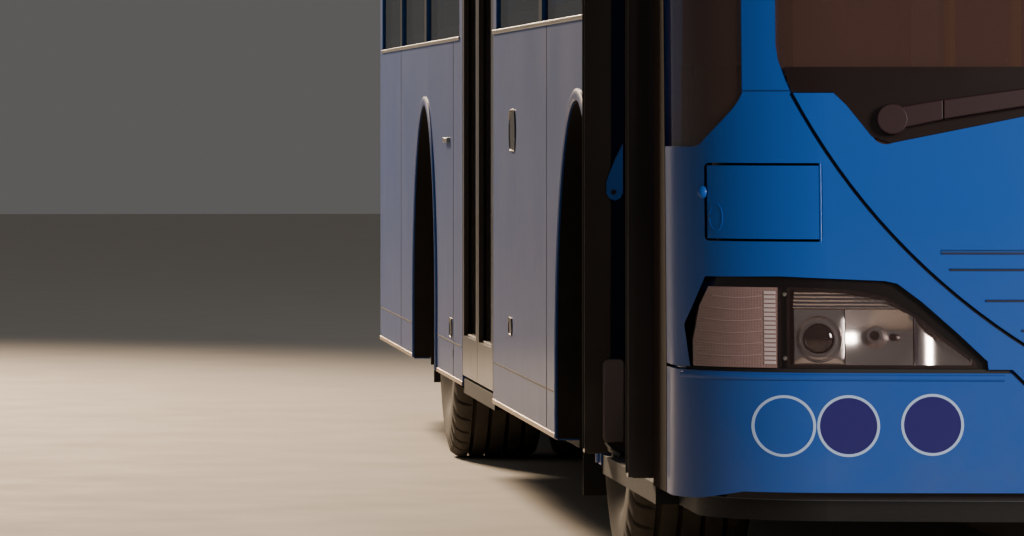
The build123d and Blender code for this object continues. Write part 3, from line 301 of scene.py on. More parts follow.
LIGHT, HEAVY = Weather.LIGHT, Weather.HEAVY
FINISHES: dict[str, Finish] = {
    # Paints: sprayed two-pack enamel with a faint orange peel, powder coats and stove enamel.
    "blue_enamel": Finish("sprayed_blue_enamel", "#004da4", "#00489c", 0.45, ior=1.36, coat=0.14,
                          grain_mm=(9, 0.05), weather=LIGHT),
    # A darker copy of the blue enamel: painted shade for the floors of the front's louvres.
    "recess_blue": Finish("shaded_blue_enamel", "#043f83", "#033a7a", 0.4, coat=0.6, grain_mm=(9, 0.03)),
    # A near-black navy copy of the blue enamel: painted shadow along the louvres' lower edges and across each
    # front corner.
    "recess_navy": Finish("unlit_navy_enamel", "#061238", "#050f30", 0.5, coat=0.3, grain_mm=(9, 0.03)),
    "roof_enamel": Finish("weathered_roof_enamel", "#c6cbd0", "#b6babd", 0.5, coat=0.3, grain_mm=(12, 0.1)),
    "door_frame": Finish("black_powder_coated_aluminium", "#160d0d", "#1e1212", 0.38, coat=0.4,
                         grain_mm=(2, 0.03), weather=LIGHT),
    "rim": Finish("stoved_silver_wheel_enamel", "#8d9094", "#777a7e", 0.4, 0.6, coat=0.2,
                  grain_mm=(5, 0.05), weather=HEAVY),
    "chassis": Finish("painted_chassis_steel", "#0d0c0d", "#171514", 0.75, ior=1.3, grain_mm=(6, 0.2),
                      weather=LIGHT),
    "wiper_coat": Finish("powder_coated_wiper_arm", "#2c181b", "#241316", 0.5, ior=1.4, grain_mm=(2, 0.05)),
    "pole_coat": Finish("yellow_powder_coated_steel", "#d0a212", "#c4960c", 0.35, coat=0.4,
                        grain_mm=(2.5, 0.05)),
    # Metals: cast, plated, silvered and vacuum-metallised.
    "cast_iron": Finish("sand_cast_iron", "#2b2927", "#3b3733", 0.7, 0.4, grain_mm=(2.5, 0.3)),
    "zinc_nut": Finish("zinc_plated_steel", "#8b8a86", "#6f6d69", 0.35, 0.9, grain_mm=(3, 0.05)),
    "galvanised": Finish("galvanised_sheet_steel", "#9a9a98", "#b3b1ac", 0.35, 0.9, grain_mm=(8, 0.05)),
    "step_edge": Finish("ribbed_aluminium_step_edge", "#b9a58e", "#cdb99f", 0.4, 0.7, grain_mm=(2, 0.2)),
    "mirror_silver": Finish("silvered_mirror_glass", "#c9ced2", "#bfc4c8", 0.02, 1.0, grain_mm=(200, 0.02)),
    "reflector": Finish("metallised_polycarbonate", "#d9cfcc", "#b8aaa8", 0.16, 0.95, grain_mm=(30, 0.1)),
    "reflector_rim": Finish("metallised_lamp_ring", "#a59a9a", "#958a8a", 0.22, 0.9, grain_mm=(20, 0.02)),
    # The signal reflector's pinkish tint is a painted reflection of warm surroundings.
    "signal_back": Finish("pressed_signal_reflector", "#9d7c78", "#86655f", 0.3, 0.6, grain_mm=(9, 0.8)),
    # Rubber and moulded plastics, some with a leather-like grain.
    "tyre": Finish("vulcanised_tyre_rubber", "#171616", "#262321", 0.82, grain_mm=(3, 0.2), weather=HEAVY),
    "seal": Finish("extruded_epdm_rubber", "#131112", "#1d1b1b", 0.7, grain_mm=(2.5, 0.05)),
    "black_plastic": Finish("moulded_black_polypropylene", "#100e0f", "#191617", 0.5, grain_mm=(1.6, 0.08),
                            weather=LIGHT),
    "post_cover": Finish("moulded_door_post_cover", "#180b0a", "#1f0f0d", 0.85, ior=1.15, grain_mm=(2, 0.05)),
    "grey_cover": Finish("moulded_grey_polyurethane", "#5b5356", "#675e60", 0.6, grain_mm=(2, 0.06)),
    "seat_shell": Finish("moulded_grey_seat_shell", "#4b4f57", "#555962", 0.5, grain_mm=(1.8, 0.06)),
    "dash": Finish("soft_grained_dashboard_pvc", "#24201f", "#2e2928", 0.6, grain_mm=(2.2, 0.12)),
    "lamp_black": Finish("moulded_lamp_bezel_abs", "#0c0707", "#150d0d", 0.3, coat=0.3, grain_mm=(3, 0.02)),
    "lining": Finish("laminated_lining_panel", "#8c8a86", "#9b9893", 0.5, grain_mm=(2, 0.05)),
    "vinyl_floor": Decked("rolled_safety_vinyl", "#3c4046", "#565b60", 0.6, ior=1.4, grain_mm=(4, 0.2),
                          mottle_mm=6, weather=LIGHT),
    "moquette": Woven("woven_seat_moquette", "#1d2f57", "#27406f", 0.95, grain_mm=(4, 0.6), mottle_mm=25),
    # Films: printed, reflective and fired on.
    "sticker_white": Finish("printed_pale_blue_vinyl_film", "#a9c2ea", "#a2bbe4", 0.35, coat=0.5,
                            grain_mm=(6, 0.01)),
    "sticker_indigo": Finish("printed_indigo_vinyl_film", "#221a63", "#241d69", 0.3, coat=0.6,
                             grain_mm=(6, 0.01)),
    "plate_white": Finish("blank_reflective_plate_film", "#e2e2dc", "#d8d8d1", 0.35, coat=0.4,
                          grain_mm=(2, 0.02)),
    "frit": Finish("fired_black_ceramic_frit", "#150908", "#1b0d0b", 0.3, coat=0.4, grain_mm=(3, 0.01)),
    # Lamp optics.
    "projector": Finish("projector_lens_glass", "#150b0b", "#1d1010", 0.06, ior=1.52, coat=1.0,
                        grain_mm=(20, 0.01)),
    # The pinkish tint of the signal's ribs is a painted reflection of warm surroundings.
    "rib_lens": Finish("moulded_lens_rib", "#a8908e", "#98807e", 0.15, coat=0.8, grain_mm=(6, 0.05)),
    "ladder_lens": Finish("moulded_lens_prisms", "#c3b4b6", "#b2a2a4", 0.15, coat=1.0, grain_mm=(6, 0.05)),
    "red_lens": Ribbed("ribbed_red_acrylic", "#8f0f10", "#a31514", 0.12, coat=0.8, grain_mm=(4, 0.5),
                       rib_mm=12),
    "amber_lens": Ribbed("ribbed_amber_acrylic", "#c46a10", "#d67c1c", 0.12, coat=0.8, grain_mm=(4, 0.5),
                         rib_mm=12),
    # The signal lens's pinkish tint is a painted reflection of warm surroundings.
    "signal_lens": Ribbed("prismatic_clear_polycarbonate", "#8f7673", "#7d6461", 0.12, ior=1.58, coat=1.0,
                          grain_mm=(4, 0.5), mottle_mm=60, rib_mm=5),
    # Glass and clear plastic.
    "clear_lens": Glazing("moulded_clear_polycarbonate", "#6b5350", "#5f4947", 0.05, ior=1.45,
                          grain_mm=(40, 0.02), clear=0.93),
    "windscreen": Glazing("laminated_float_glass", "#4a332d", "#563d36", 0.03, ior=1.52,
                          grain_mm=(300, 0.2), clear=0.45),
    "side_glass": Glazing("toughened_tinted_float_glass", "#120c0c", "#181011", 0.03, ior=1.52,
                          grain_mm=(300, 0.2), clear=0.4),
}

# The CAD nodes that keep their own shape, by finish. The door leaves are painted in Doors.
PAINTED: dict[str, str] = {
    "blue_enamel": "front_panel front_corner_panels front_bumper front_frame side_wall_right side_wall_left"
                   " rear_panel engine_lid rear_bumper service_flap",
    "roof_enamel": "roof roof_unit",
    "windscreen": "windscreen corner_glass",
    "side_glass": "side_windows rear_window",
    "lamp_black": "headlamp_housings tail_lamps",
    "clear_lens": "headlamp_lenses",
    "signal_lens": "turn_signal_lenses",
    "black_plastic": "mirrors destination_box",
    "cast_iron": "knuckle_right knuckle_left front_axle rear_axle engine_block",
    "chassis": "underframe front_wheel_housings rear_wheel_housings",
    "seal": "mud_flaps",
    "vinyl_floor": "floor",
    "dash": "dashboard",
    "pole_coat": "grab_poles",
}


class Palette:
    """Builds each finish once and hands out its material."""

    def __init__(self) -> None:
        """Start with no material built."""
        self.made: dict[str, bpy.types.Material] = {}

    def get(self, key: str) -> bpy.types.Material:
        """Return the material of a finish, building it the first time."""
        if key not in self.made:
            self.made[key] = FINISHES[key].build()
        return self.made[key]


@dataclass(frozen=True)
class FrontSkin:
    """The outer face of the front: bowed, round at the corners, and leaning above the bumper."""

    front_x: float = 5.975
    side_y: float = 1.275
    bow: float = 0.160
    corner: float = 0.330
    lean_z: float = 0.545
    lean_back: float = 0.235
    roof_z: float = 2.880

    def plan(self, y: float) -> Triple:
        """Return how far back the plan is at y, and the outward normal there."""
        radius = (self.side_y**2 + self.bow**2) / (2 * self.bow)
        corner_y = self.side_y - self.corner
        corner_x = -radius + math.sqrt((radius - self.corner) ** 2 - corner_y**2)
        out = min(abs(y), self.side_y - 1e-4)
        if out <= corner_y * radius / (radius - self.corner):
            back = math.sqrt(radius**2 - out**2) - radius
            normal_x, normal_y = (back + radius) / radius, out / radius
        else:
            reach = math.sqrt(self.corner**2 - (out - corner_y) ** 2)
            back = corner_x + reach
            normal_x, normal_y = reach / self.corner, (out - corner_y) / self.corner
        return back, normal_x, math.copysign(normal_y, y)

    def point(self, y: float, z: float, proud: float = 0.0) -> Vector:
        """Return the point of the skin at a width and height.

        Args:
            y: place across the bus.
            z: height above the road.
            proud: distance out from the skin; less than nothing is inside it.

        Returns:
            The point in the bus's frame.
        """
        back, normal_x, normal_y = self.plan(y)
        back += proud * normal_x
        if z <= self.lean_z:
            return Vector((self.front_x + back, y + proud * normal_y, z))
        lean = math.atan2(self.lean_back, self.roof_z - self.lean_z)
        up = (z - self.lean_z - back * math.sin(lean)) / math.cos(lean)
        x = self.front_x + back * math.cos(lean) - up * math.sin(lean)
        return Vector((x, y + proud * normal_y, z))


SKIN = FrontSkin()
SIDE_Y = SKIN.side_y


def circle(steps: int, radius: float = 1.0, turn: float = 0.0) -> list[Pair]:
    """Return points round a circle about the origin, the first one turned by a share of a step."""
    angles = [2 * math.pi * (step + turn) / steps for step in range(steps)]
    return [(radius * math.cos(angle), radius * math.sin(angle)) for angle in angles]


def dome(depth: float, radius: float, steps: int) -> list[Pair]:
    """Return a flat-footed dome's section as (distance along its axis, radius) points."""
    angles = [math.pi * step / (2 * steps) for step in range(steps)]
    return [(0.0, 0.0)] + [(depth * math.sin(a), radius * math.cos(a)) for a in angles] + [(depth, 0.0)]


def plug(depth: float, radius: float) -> list[Pair]:
    """Return a plain round boss's section."""
    return [(0.0, 0.0), (0.0, radius), (depth, radius), (depth, 0.0)]


def arc(start: Pair, middle: Pair, end: Pair, steps: int = 24) -> list[Pair]:
    """Return points on the circle through three points, from the first to the last."""
    (ax, ay), (bx, by), (cx, cy) = start, middle, end
    scale = 2 * (ax * (by - cy) + bx * (cy - ay) + cx * (ay - by))
    squares = [ax * ax + ay * ay, bx * bx + by * by, cx * cx + cy * cy]
    ox = (squares[0] * (by - cy) + squares[1] * (cy - ay) + squares[2] * (ay - by)) / scale
    oy = (squares[0] * (cx - bx) + squares[1] * (ax - cx) + squares[2] * (bx - ax)) / scale
    first = math.atan2(ay - oy, ax - ox)
    turn = math.remainder(math.atan2(cy - oy, cx - ox) - first, 2 * math.pi)
    radius = math.dist(start, (ox, oy))
    angles = [first + turn * step / steps for step in range(steps + 1)]
    return [(ox + radius * math.cos(angle), oy + radius * math.sin(angle)) for angle in angles]


def between(start: Pair, end: Pair, share: float) -> Pair:
    """Return the point at a share of the way from one point to another."""
    return (start[0] + (end[0] - start[0]) * share, start[1] + (end[1] - start[1]) * share)


def along(edge: Sequence[Pair], share: float) -> Pair:
    """Return the point at a share of a polyline's length."""
    left = share * sum(math.dist(start, end) for start, end in zip(edge, edge[1:]))
    for start, end in zip(edge, edge[1:]):
        span = math.dist(start, end)
        if left <= span or end == edge[-1]:
            return between(start, end, min(1.0, left / span) if span else 0.0)
        left -= span
    return edge[-1]


def mirrored(side: int, points: Iterable[Pair]) -> list[Pair]:
    """Return (width, height) points on the side of the bus that +1 or -1 names."""
    return [(side * y, z) for y, z in points]


def upright(origin: Sequence[float] = (0.0, 0.0, 0.0), facing: int = 1) -> Place:
    """Return the placing of (u, v, w) that runs u forward, v up and w across the bus."""
    return lambda u, v, w: Vector((origin[0] + facing * u, origin[1] + w, origin[2] + v))


def crosswise(u: float, v: float, w: float) -> Vector:
    """Place u across the bus, v up and w forward."""
    return Vector((w, u, v))


def square_to(axis: Vector) -> tuple[Vector, Vector]:
    """Return two unit vectors that are square to a unit axis and to each other."""
    across = axis.cross(UP if abs(axis.z) < 0.9 else Vector((1, 0, 0))).normalized()
    return across, across.cross(axis)


class Piece:
    """One mesh piece being made, which ends as an object that rides on a body."""

    def __init__(self, name: str, body: str, finish: str, slot: str, palette: Palette) -> None:
        """Start an empty piece.

        Args:
            name: the object's plain name.
            body: the CAD body it rides on.
            finish: the key of its finish.
            slot: the record's material slot, which the piece keeps and does not use.
            palette: where the material comes from.
        """
        self.name = name
        self.body = body
        self.slot = slot
        self.material = palette.get(finish)
        self.mesh = bmesh.new()

    def verts(self, points: Iterable[Any]) -> list[Any]:
        """Add points to the mesh."""
        return [self.mesh.verts.new(point) for point in points]

    def box(self, low: Triple, high: Triple) -> None:
        """Add a block between two corners."""
        spans = list(zip(low, high))
        corners = self.verts((x, y, z) for x in spans[0] for y in spans[1] for z in spans[2])
        for ring in ((0, 1, 3, 2), (4, 6, 7, 5), (0, 4, 5, 1), (2, 3, 7, 6), (0, 2, 6, 4), (1, 5, 7, 3)):
            self.mesh.faces.new([corners[i] for i in ring])

    def slab(
        self, side: int, run: Pair, rise: Pair, proud: float, sunk: float = 0.0005, wall_y: float = SIDE_Y
    ) -> None:
        """Add a strip along a side wall.

        Args:
            side: +1 on the driver's side.
            run: its rear and front ends.
            rise: its foot and its top.
            proud: how far its outer face stands out from the wall.
            sunk: how far its inner face lies behind the wall's.
            wall_y: where the wall's outer face is.
        """
        low, high = sorted((side * (wall_y - sunk), side * (wall_y + proud)))
        self.box((run[0], low, rise[0]), (run[1], high, rise[1]))

    def rings(self, rings: Iterable[Iterable[Vector]], closed: bool = False, caps: bool = False) -> None:
        """Join rings of points by faces.

        Args:
            rings: rings of the same number of points.
            closed: whether the last ring joins the first.
            caps: whether a face shuts each end.
        """
        made = [self.verts(ring) for ring in rings]
        for near, far in zip(made, made[1:] + made[:1] if closed else made[1:]):
            for step in range(len(near)):
                after = (step + 1) % len(near)
                self.mesh.faces.new((near[step], near[after], far[after], far[step]))
        if caps:
            self.mesh.faces.new(list(reversed(made[0])))
            self.mesh.faces.new(made[-1])

    def prism(self, outline: Sequence[Pair], place: Place, thick: Pair) -> None:
        """Add a prism of a (u, v) outline, between two w, where place turns (u, v, w) into a point."""
        self.rings([[place(u, v, w) for u, v in outline] for w in thick], caps=True)

    def turned(
        self, section: Iterable[Pair], origin: Vector, axis: Vector, steps: int = 32, closed: bool = False
    ) -> None:
        """Turn a section about any axis; an open one is a solid if both ends reach the axis.

        Args:
            section: (distance along the axis, radius) points.
            origin: where the distances start.
            axis: the way the distances run.
            steps: how many facets go round.
            closed: whether the section's last point joins its first.
        """
        run = axis.normalized()
        across, up = square_to(run)
        rings = []
        for reach, radius in section:
            rings.append([origin + run * reach + across * c + up * s for c, s in circle(steps, radius)])
        self.rings(rings, closed)

    def tube(self, points: Sequence[Vector], radius: float, sides: int = 12, width: float = 1.0) -> None:
        """Add a closed rod along points, so many times wider than it is deep."""
        rings = []
        for index, point in enumerate(points):
            run = (points[min(index + 1, len(points) - 1)] - points[max(index - 1, 0)]).normalized()
            across, up = square_to(run)
            rings.append([point + across * (c * width) + up * s for c, s in circle(sides, radius)])
        self.rings(rings, caps=True)

    def grid(self, rows: Iterable[Iterable[Vector]], backs: Iterable[Iterable[Vector]]) -> None:
        """Add a closed plate from a front and a back grid of points of the same size."""
        front, back = ([self.verts(row) for row in grid] for grid in (rows, backs))
        tall, wide = len(front), len(front[0])
        for r in range(tall - 1):
            for c in range(wide - 1):
                self.mesh.faces.new((front[r][c], front[r][c + 1], front[r + 1][c + 1], front[r + 1][c]))
                self.mesh.faces.new((back[r][c], back[r + 1][c], back[r + 1][c + 1], back[r][c + 1]))
        edge = [(0, c) for c in range(wide)]
        edge += [(r, wide - 1) for r in range(1, tall)]
        edge += [(tall - 1, c) for c in range(wide - 2, -1, -1)]
        edge += [(r, 0) for r in range(tall - 2, 0, -1)]
        for (r0, c0), (r1, c1) in zip(edge, edge[1:] + edge[:1]):
            self.mesh.faces.new((front[r0][c0], back[r0][c0], back[r1][c1], front[r1][c1]))

    def skin_grid(self, cells: Sequence[Sequence[Pair]], out: float, inside: float) -> None:
        """Add a plate over a grid of (y, z) places, between two distances from the front skin."""
        self.grid(*([[SKIN.point(*cell, proud) for cell in row] for row in cells] for proud in (out, inside)))

    def skin_plate(
        self, near: Sequence[Pair], far: Sequence[Pair], out: float, inside: float, rows: int, columns: int
    ) -> None:
        """Add a plate that follows the front skin between two edges.

        Args:
            near: one edge as (y, z) points.
            far: the other edge, run the same way.
            out: how far the outer face stands from the skin.
            inside: how far the inner face stands from it.
            rows: steps along the edges.
            columns: steps between the edges.
        """
        cells = []
        for row in range(rows + 1):
            start, end = along(near, row / rows), along(far, row / rows)
            cells.append([between(start, end, column / columns) for column in range(columns + 1)])
        self.skin_grid(cells, out, inside)

    def strip(self, points: Sequence[Pair], half: float, out: float, inside: float, steps: int = 40) -> None:
        """Add a band of even width that follows a line on the front skin."""
        line = [along(points, step / steps) for step in range(steps + 1)]
        cells = []
        for index, (y, z) in enumerate(line):
            before, after = line[max(index - 1, 0)], line[min(index + 1, steps)]
            scale = half / math.dist(before, after)
            across_y, across_z = (before[1] - after[1]) * scale, (after[0] - before[0]) * scale
            cells.append([(y + across_y, z + across_z), (y - across_y, z - across_z)])
        self.skin_grid(cells, out, inside)

    def skin_ring(
        self, centre: Pair, inner: float, outer: float, out: float, inside: float, steps: int = 64
    ) -> None:
        """Add a ring, or from an inner radius of nothing a disc, that follows the front skin."""
        section = [(inner, inside), (inner, out), ((inner + outer) / 2, out), (outer, out), (outer, inside)]
        rings = []
        for radius, proud in section:
            rings.append([SKIN.point(centre[0] + c, centre[1] + s, proud) for c, s in circle(steps, radius)])
        self.rings(rings, closed=True)

    def skin_boss(self, centre: Pair, foot: float, section: Iterable[Pair], steps: int) -> None:
        """Turn a section about the front skin's outward line, from a distance out from the skin."""
        origin = SKIN.point(*centre, foot)
        self.turned(section, origin, SKIN.point(*centre, foot + 0.1) - origin, steps)

    def cushion(self, place: Place, size: Triple, rounding: float, crown: float, seams: int = 0) -> None:
        """Add a stuffed pad: rounded edges, a crowned face and stitched seams that pull it in.

        Args:
            place: turns (u, v, w), each from minus to plus half the size, into a point.
            size: the pad's width, length and thickness.
            rounding: the radius of its edges.
            crown: how far the middle of its upper face swells.
            seams: how many stitched lines cross it.
        """
        cells = (14, 18, 4)
        half = [value / 2 for value in size]

        def at(cell: Sequence[int]) -> Vector:
            """Return the point of the pad at a place in its grid."""
            raw = [(2 * c / n - 1) * h for c, n, h in zip(cell, cells, half)]
            core = [max(rounding - h, min(h - rounding, r)) for r, h in zip(raw, half)]
            away = Vector([r - c for r, c in zip(raw, core)])
            point = Vector(core) + (away.normalized() * rounding if away.length > 1e-9 else away)
            u, v = point.x / half[0], point.y / half[1]
            if point.z > 0:
                point.z += crown * (1 - u * u) * (1 - v**4)
                for seam in range(seams):
                    line = (2 * (seam + 1) / (seams + 1) - 1) * half[1]
                    point.z -= 0.4 * crown * math.exp(-(((point.y - line) / 0.008) ** 2))
            return place(point.x, point.y, point.z)

        shared: dict[tuple[int, ...], Any] = {}
        for fixed, first, second in ((2, 0, 1), (1, 0, 2), (0, 1, 2)):
            for level in (0, cells[fixed]):
                for a in range(cells[first]):
                    for b in range(cells[second]):
                        quad = []
                        for da, db in ((0, 0), (1, 0), (1, 1), (0, 1)):
                            cell = [0, 0, 0]
                            cell[fixed], cell[first], cell[second] = level, a + da, b + db
                            if tuple(cell) not in shared:
                                shared[tuple(cell)] = self.mesh.verts.new(at(cell))
                            quad.append(shared[tuple(cell)])
                        self.mesh.faces.new(quad)

    def pierced(
        self, rims: Sequence[float], holes: Sequence[Triple], height: Callable[[float], float],
        origin: Vector, side: float, thick: float,
    ) -> None:
        """Add a dished disc on a wheel's axle line with round holes through it.

        Args:
            rims: the outer and the inner radius.
            holes: each hole's place along the bus and up from the axle, and its radius.
            height: how far out along the axle line the disc lies at a radius.
            origin: the wheel's middle.
            side: +1 where out is towards +Y.
            thick: the plate's thickness.
        """
        flat = bmesh.new()
        loops = [circle(60, radius) for radius in rims]
        loops += [[(u + c, v + s) for c, s in circle(16, radius)] for u, v, radius in holes]
        edges = []
        for loop in loops:
            ring = [flat.verts.new((u, v, 0.0)) for u, v in loop]
            edges += [flat.edges.new(pair) for pair in zip(ring, ring[1:] + ring[:1])]
        bmesh.ops.triangle_fill(flat, use_beauty=True, edges=edges)
        flat.verts.index_update()
        layers = []
        for drop in (0.0, -thick):
            outs = [(vert.co.x, side * (height(vert.co.length) + drop), vert.co.y) for vert in flat.verts]
            layers.append(self.verts(origin + Vector(out) for out in outs))
        for face in flat.faces:
            order = [vert.index for vert in face.verts]
            self.mesh.faces.new([layers[0][i] for i in order])
            self.mesh.faces.new([layers[1][i] for i in reversed(order)])
        for edge in flat.edges:
            if edge.is_boundary:
                a, b = (vert.index for vert in edge.verts)
                self.mesh.faces.new((layers[0][a], layers[0][b], layers[1][b], layers[1][a]))
        flat.free()

    def done(self, bevel: float = 0.0, smooth: float = 35.0, hides: Sequence[str] = ()) -> bpy.types.Object:
        """Close the piece and put it on its body.

        Args:
            bevel: the width of its rounded edges.
            smooth: the angle in degrees under which faces shade as one.
            hides: the CAD nodes that the piece stands for.

        Returns:
            The finished object.
        """
        bmesh.ops.remove_doubles(self.mesh, verts=self.mesh.verts, dist=1e-6)
        bmesh.ops.recalc_face_normals(self.mesh, faces=self.mesh.faces)
        data = bpy.data.meshes.new(self.name)
        self.mesh.to_mesh(data)
        self.mesh.free()
        for polygon in data.polygons:
            polygon.use_smooth = True
        data.set_sharp_from_angle(angle=math.radians(smooth))
        data.materials.append(self.material)
        made = bpy.data.objects.new(self.name, data)
        bpy.context.scene.collection.objects.link(made)
        if bevel:
            rounding = made.modifiers.new("edges", "BEVEL")
            rounding.width = bevel
            rounding.segments = 2
            rounding.limit_method = "ANGLE"
            rounding.angle_limit = math.radians(40)
            rounding.harden_normals = True
        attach(made, self.body)
        if hides:
            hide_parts(*hides)
        LOG.info("piece %s: %d faces on %s", self.name, len(data.polygons), self.body)
        return made


@dataclass
class Dressing:
    """What every sub-assembly shares: the frame and the palette."""

    frame: dict[str, Any]
    palette: Palette

    def piece(self, name: str, finish: str, slot: str, body: str = "bus_body") -> Piece:
        """Start a piece of this sub-assembly."""
        return Piece(name, body, finish, slot, self.palette)

    def paint(self, finish: str, *nodes: str) -> None:
        """Give CAD nodes a finish."""
        for name in nodes:
            data = self.frame["nodes"][name].data
            data.materials.clear()
            data.materials.append(self.palette.get(finish))


@dataclass
class Shell(Dressing):
    """The painted body: its glass bands, seams and trim."""

    belt_z: float = 1.25
    window_top: float = 2.33
    arch_radius: float = 0.582
    skirt_z: float = 0.278
    windows: tuple[tuple[int, tuple[Pair, ...]], ...] = (
        (-1, ((2.2, 1.56), (3.86, 1.52), (6.9, 1.56), (8.56, 1.24), (9.88, 1.14))),
        (1, (
            (0.88, 1.12), (2.1, 1.62), (3.82, 1.62), (5.54, 1.62), (7.26, 1.62), (8.98, 1.0), (10.08, 0.94),
        )),
    )

    def dress(self) -> None:
        """Add the glass bands, arch lips, trim strips, sealant, and the louvres' painted shade and painted
        shadow lines.
        """
        self.glass_bands()
        self.window_bands()
        self.arch_lips()
        self.side_trims()
        self.front_gaskets_and_painted_shade()

    def glass_bands(self) -> None:
        """Add the black fired bands at the windscreen's edge and the corner glass's foot."""
        bands = self.piece("windscreen_frit", "frit", "black_plastic")
        foot = [(-1.069, 1.0685), (-0.988, 1.0685), (-0.918, 0.979), (-0.902, 0.972), (-0.884, 0.974)]
        foot.append((-0.642, 1.023))
        foot += arc((-0.642, 1.023), (0.0, 1.086), (0.642, 1.023), 16)[1:]
        foot += mirrored(-1, reversed(foot[:5]))
        bands.skin_plate(foot, [(-1.084, 1.116), (1.084, 1.116)], 0.0004, -0.0006, 60, 3)
        # Each band's two edges, its foot, its top, and its steps up and across.
        for edge, other, low, high, rows, columns in (
            (-1.097, -1.07, 1.1, 2.5, 12, 2), (-1.162, -1.27, 0.95, 1.12, 3, 8),
            (1.097, 1.07, 1.1, 2.5, 12, 2), (1.162, 1.27, 0.95, 1.12, 3, 8), (-1.1, 1.1, 2.44, 2.5, 2, 24),
        ):
            near, far = ([(y, low), (y, high)] for y in (edge, other))
            bands.skin_plate(near, far, *UNDER_GLASS, rows, columns)
        bands.done()

    def window_bands(self) -> None:
        """Add the fired edge behind each side window, the black pillar covers and the hopper rails."""
        frits = self.piece("side_window_frit", "frit", "black_plastic")
        covers = self.piece("window_pillar_covers", "frit", "black_plastic")
        rails = self.piece("hopper_window_rails", "door_frame", "door_frame")
        low, high, edge = self.belt_z, self.window_top, 0.035
        upper, lower, pane_top = (low + edge, high - edge), (low, low + edge), (high - edge, high)
        for side, runs in self.windows:
            for (start, wide), following in zip(runs, runs[1:] + ((math.inf, 0.0),)):
                rear, front = SKIN.front_x - start - wide, SKIN.front_x - start
                for run, rise in (
                    ((rear, front), lower), ((rear, front), pane_top), ((rear, rear + edge), upper),
                    ((front - edge, front), upper),
                ):
                    frits.slab(side, run, rise, UNDER_GLASS[0], -UNDER_GLASS[1])
                if wide > 1.2:
                    middle = (rear + front) / 2
                    rails.slab(side, (rear, front), (2.0, 2.022), -0.0002, 0.022)
                    rails.slab(side, (middle - 0.012, middle + 0.012), (2.022, high), -0.0002, 0.022)
                if following[0] - start - wide < 0.3:
                    covers.slab(side, (SKIN.front_x - following[0], rear), (low, high), 0.0015, 0.0)
        frits.done()
        covers.done()
        rails.done(bevel=0.002)

    def arch_lips(self) -> None:
        """Add the rolled flange round each wheel arch and the black liner on the wall's cut edge."""
        lips = self.piece("wheel_arch_lips", "blue_enamel", "body_paint")
        liners = self.piece("wheel_arch_liners", "chassis", "black_plastic")
        flange = (
            (0.0, -0.003), (-0.001, 0.004), (0.004, 0.007), (0.019, 0.007), (0.025, 0.003), (0.026, -0.003),
        )
        lining = ((-0.0005, 0.0), (-0.004, 0.0), (-0.004, -0.056), (-0.0005, -0.056))
        foot = self.skirt_z + 0.004 - AXLE_Z
        for side, axle_x, (piece, profile) in (
            (side, axle_x, kind)
            for side in (-1, 1) for axle_x in AXLES for kind in ((lips, flange), (liners, lining))
        ):
            rings = []
            for step in range(-1, 50):
                angle = math.pi * min(max(step, 0), 48) / 48
                lift = AXLE_Z + (foot if step in (-1, 49) else 0.0)
                rings.append([
                    Vector((axle_x + (self.arch_radius + grow) * math.cos(angle), side * (SIDE_Y + proud),
                            lift + (self.arch_radius + grow) * math.sin(angle)))
                    for grow, proud in profile
                ])
            piece.rings(rings, caps=True)
        lips.done()
        liners.done()

    def side_trims(self) -> None:
        """Add the belt bead, panel joints, skirt edge, the slots as black ovals of painted shade with a
        painted highlight on each rim, the small latch and the gutters.
        """
        beads = self.piece("belt_beads", "galvanised", "body_paint")
        joints = self.piece("side_panel_joints", "seal", "black_plastic")
        edges = self.piece("skirt_edges", "step_edge", "door_frame")
        slot_shades_and_latch = self.piece("side_slots", "lamp_black", "black_plastic")
        front, rear = AXLES[0] - self.arch_radius, AXLES[1] + self.arch_radius
        tail = AXLES[1] - self.arch_radius
        belt, skirt = self.belt_z, self.skirt_z
        for side, runs, skirts, uprights in (
            (-1, ((2.2, 5.48), (6.88, 11.02)), ((0.475, front), (rear, -0.795), (-5.17, tail)),
             (2.345, -1.2, -3.9)),
            (1, ((0.87, 11.02),), ((rear, front), (-5.17, tail)), (2.345, 1.1, -0.6, -3.9)),
        ):
            for start, end in runs:
                run = (SKIN.front_x - end, SKIN.front_x - start)
                beads.slab(side, run, (belt - 0.012, belt - 0.002), 0.004)
            for low_x, high_x in skirts:
                joints.slab(side, (low_x + 0.03, high_x - 0.03), (0.384, 0.388), 0.0008)
                edges.slab(side, (low_x, high_x), (skirt + 0.001, skirt + 0.013), 0.0025)
            for x in uprights:
                joints.slab(side, (x - 0.002, x + 0.002), (skirt + 0.014, belt - 0.013), 0.0008)
        beads.slab(-1, (-1.54, -1.36), (0.951, 0.965), 0.010)
        for x, low, high, wide in (
            (1.21, 0.938, 1.041, 0.21), (1.14, 0.476, 0.519, 0.11), (-1.3, 0.399, 0.453, 0.11),
        ):
            middle, half = (low + high) / 2, (high - low) / 2
            oval = [(x + math.copysign(wide / 2 - half, c) + c, middle + s) for c, s in circle(28, half, 0.5)]
            # Each slot is a flat black oval on the wall that stands for a recessed opening: painted shade.
            slot_shades_and_latch.prism(oval, upright(), (-SIDE_Y - 0.0015, -SIDE_Y + 0.0005))
            rim = [Vector((u, -SIDE_Y - 0.0015, v)) for u, v in oval]
            slot_shades_and_latch.tube(rim + rim[:1], 0.002, 8)
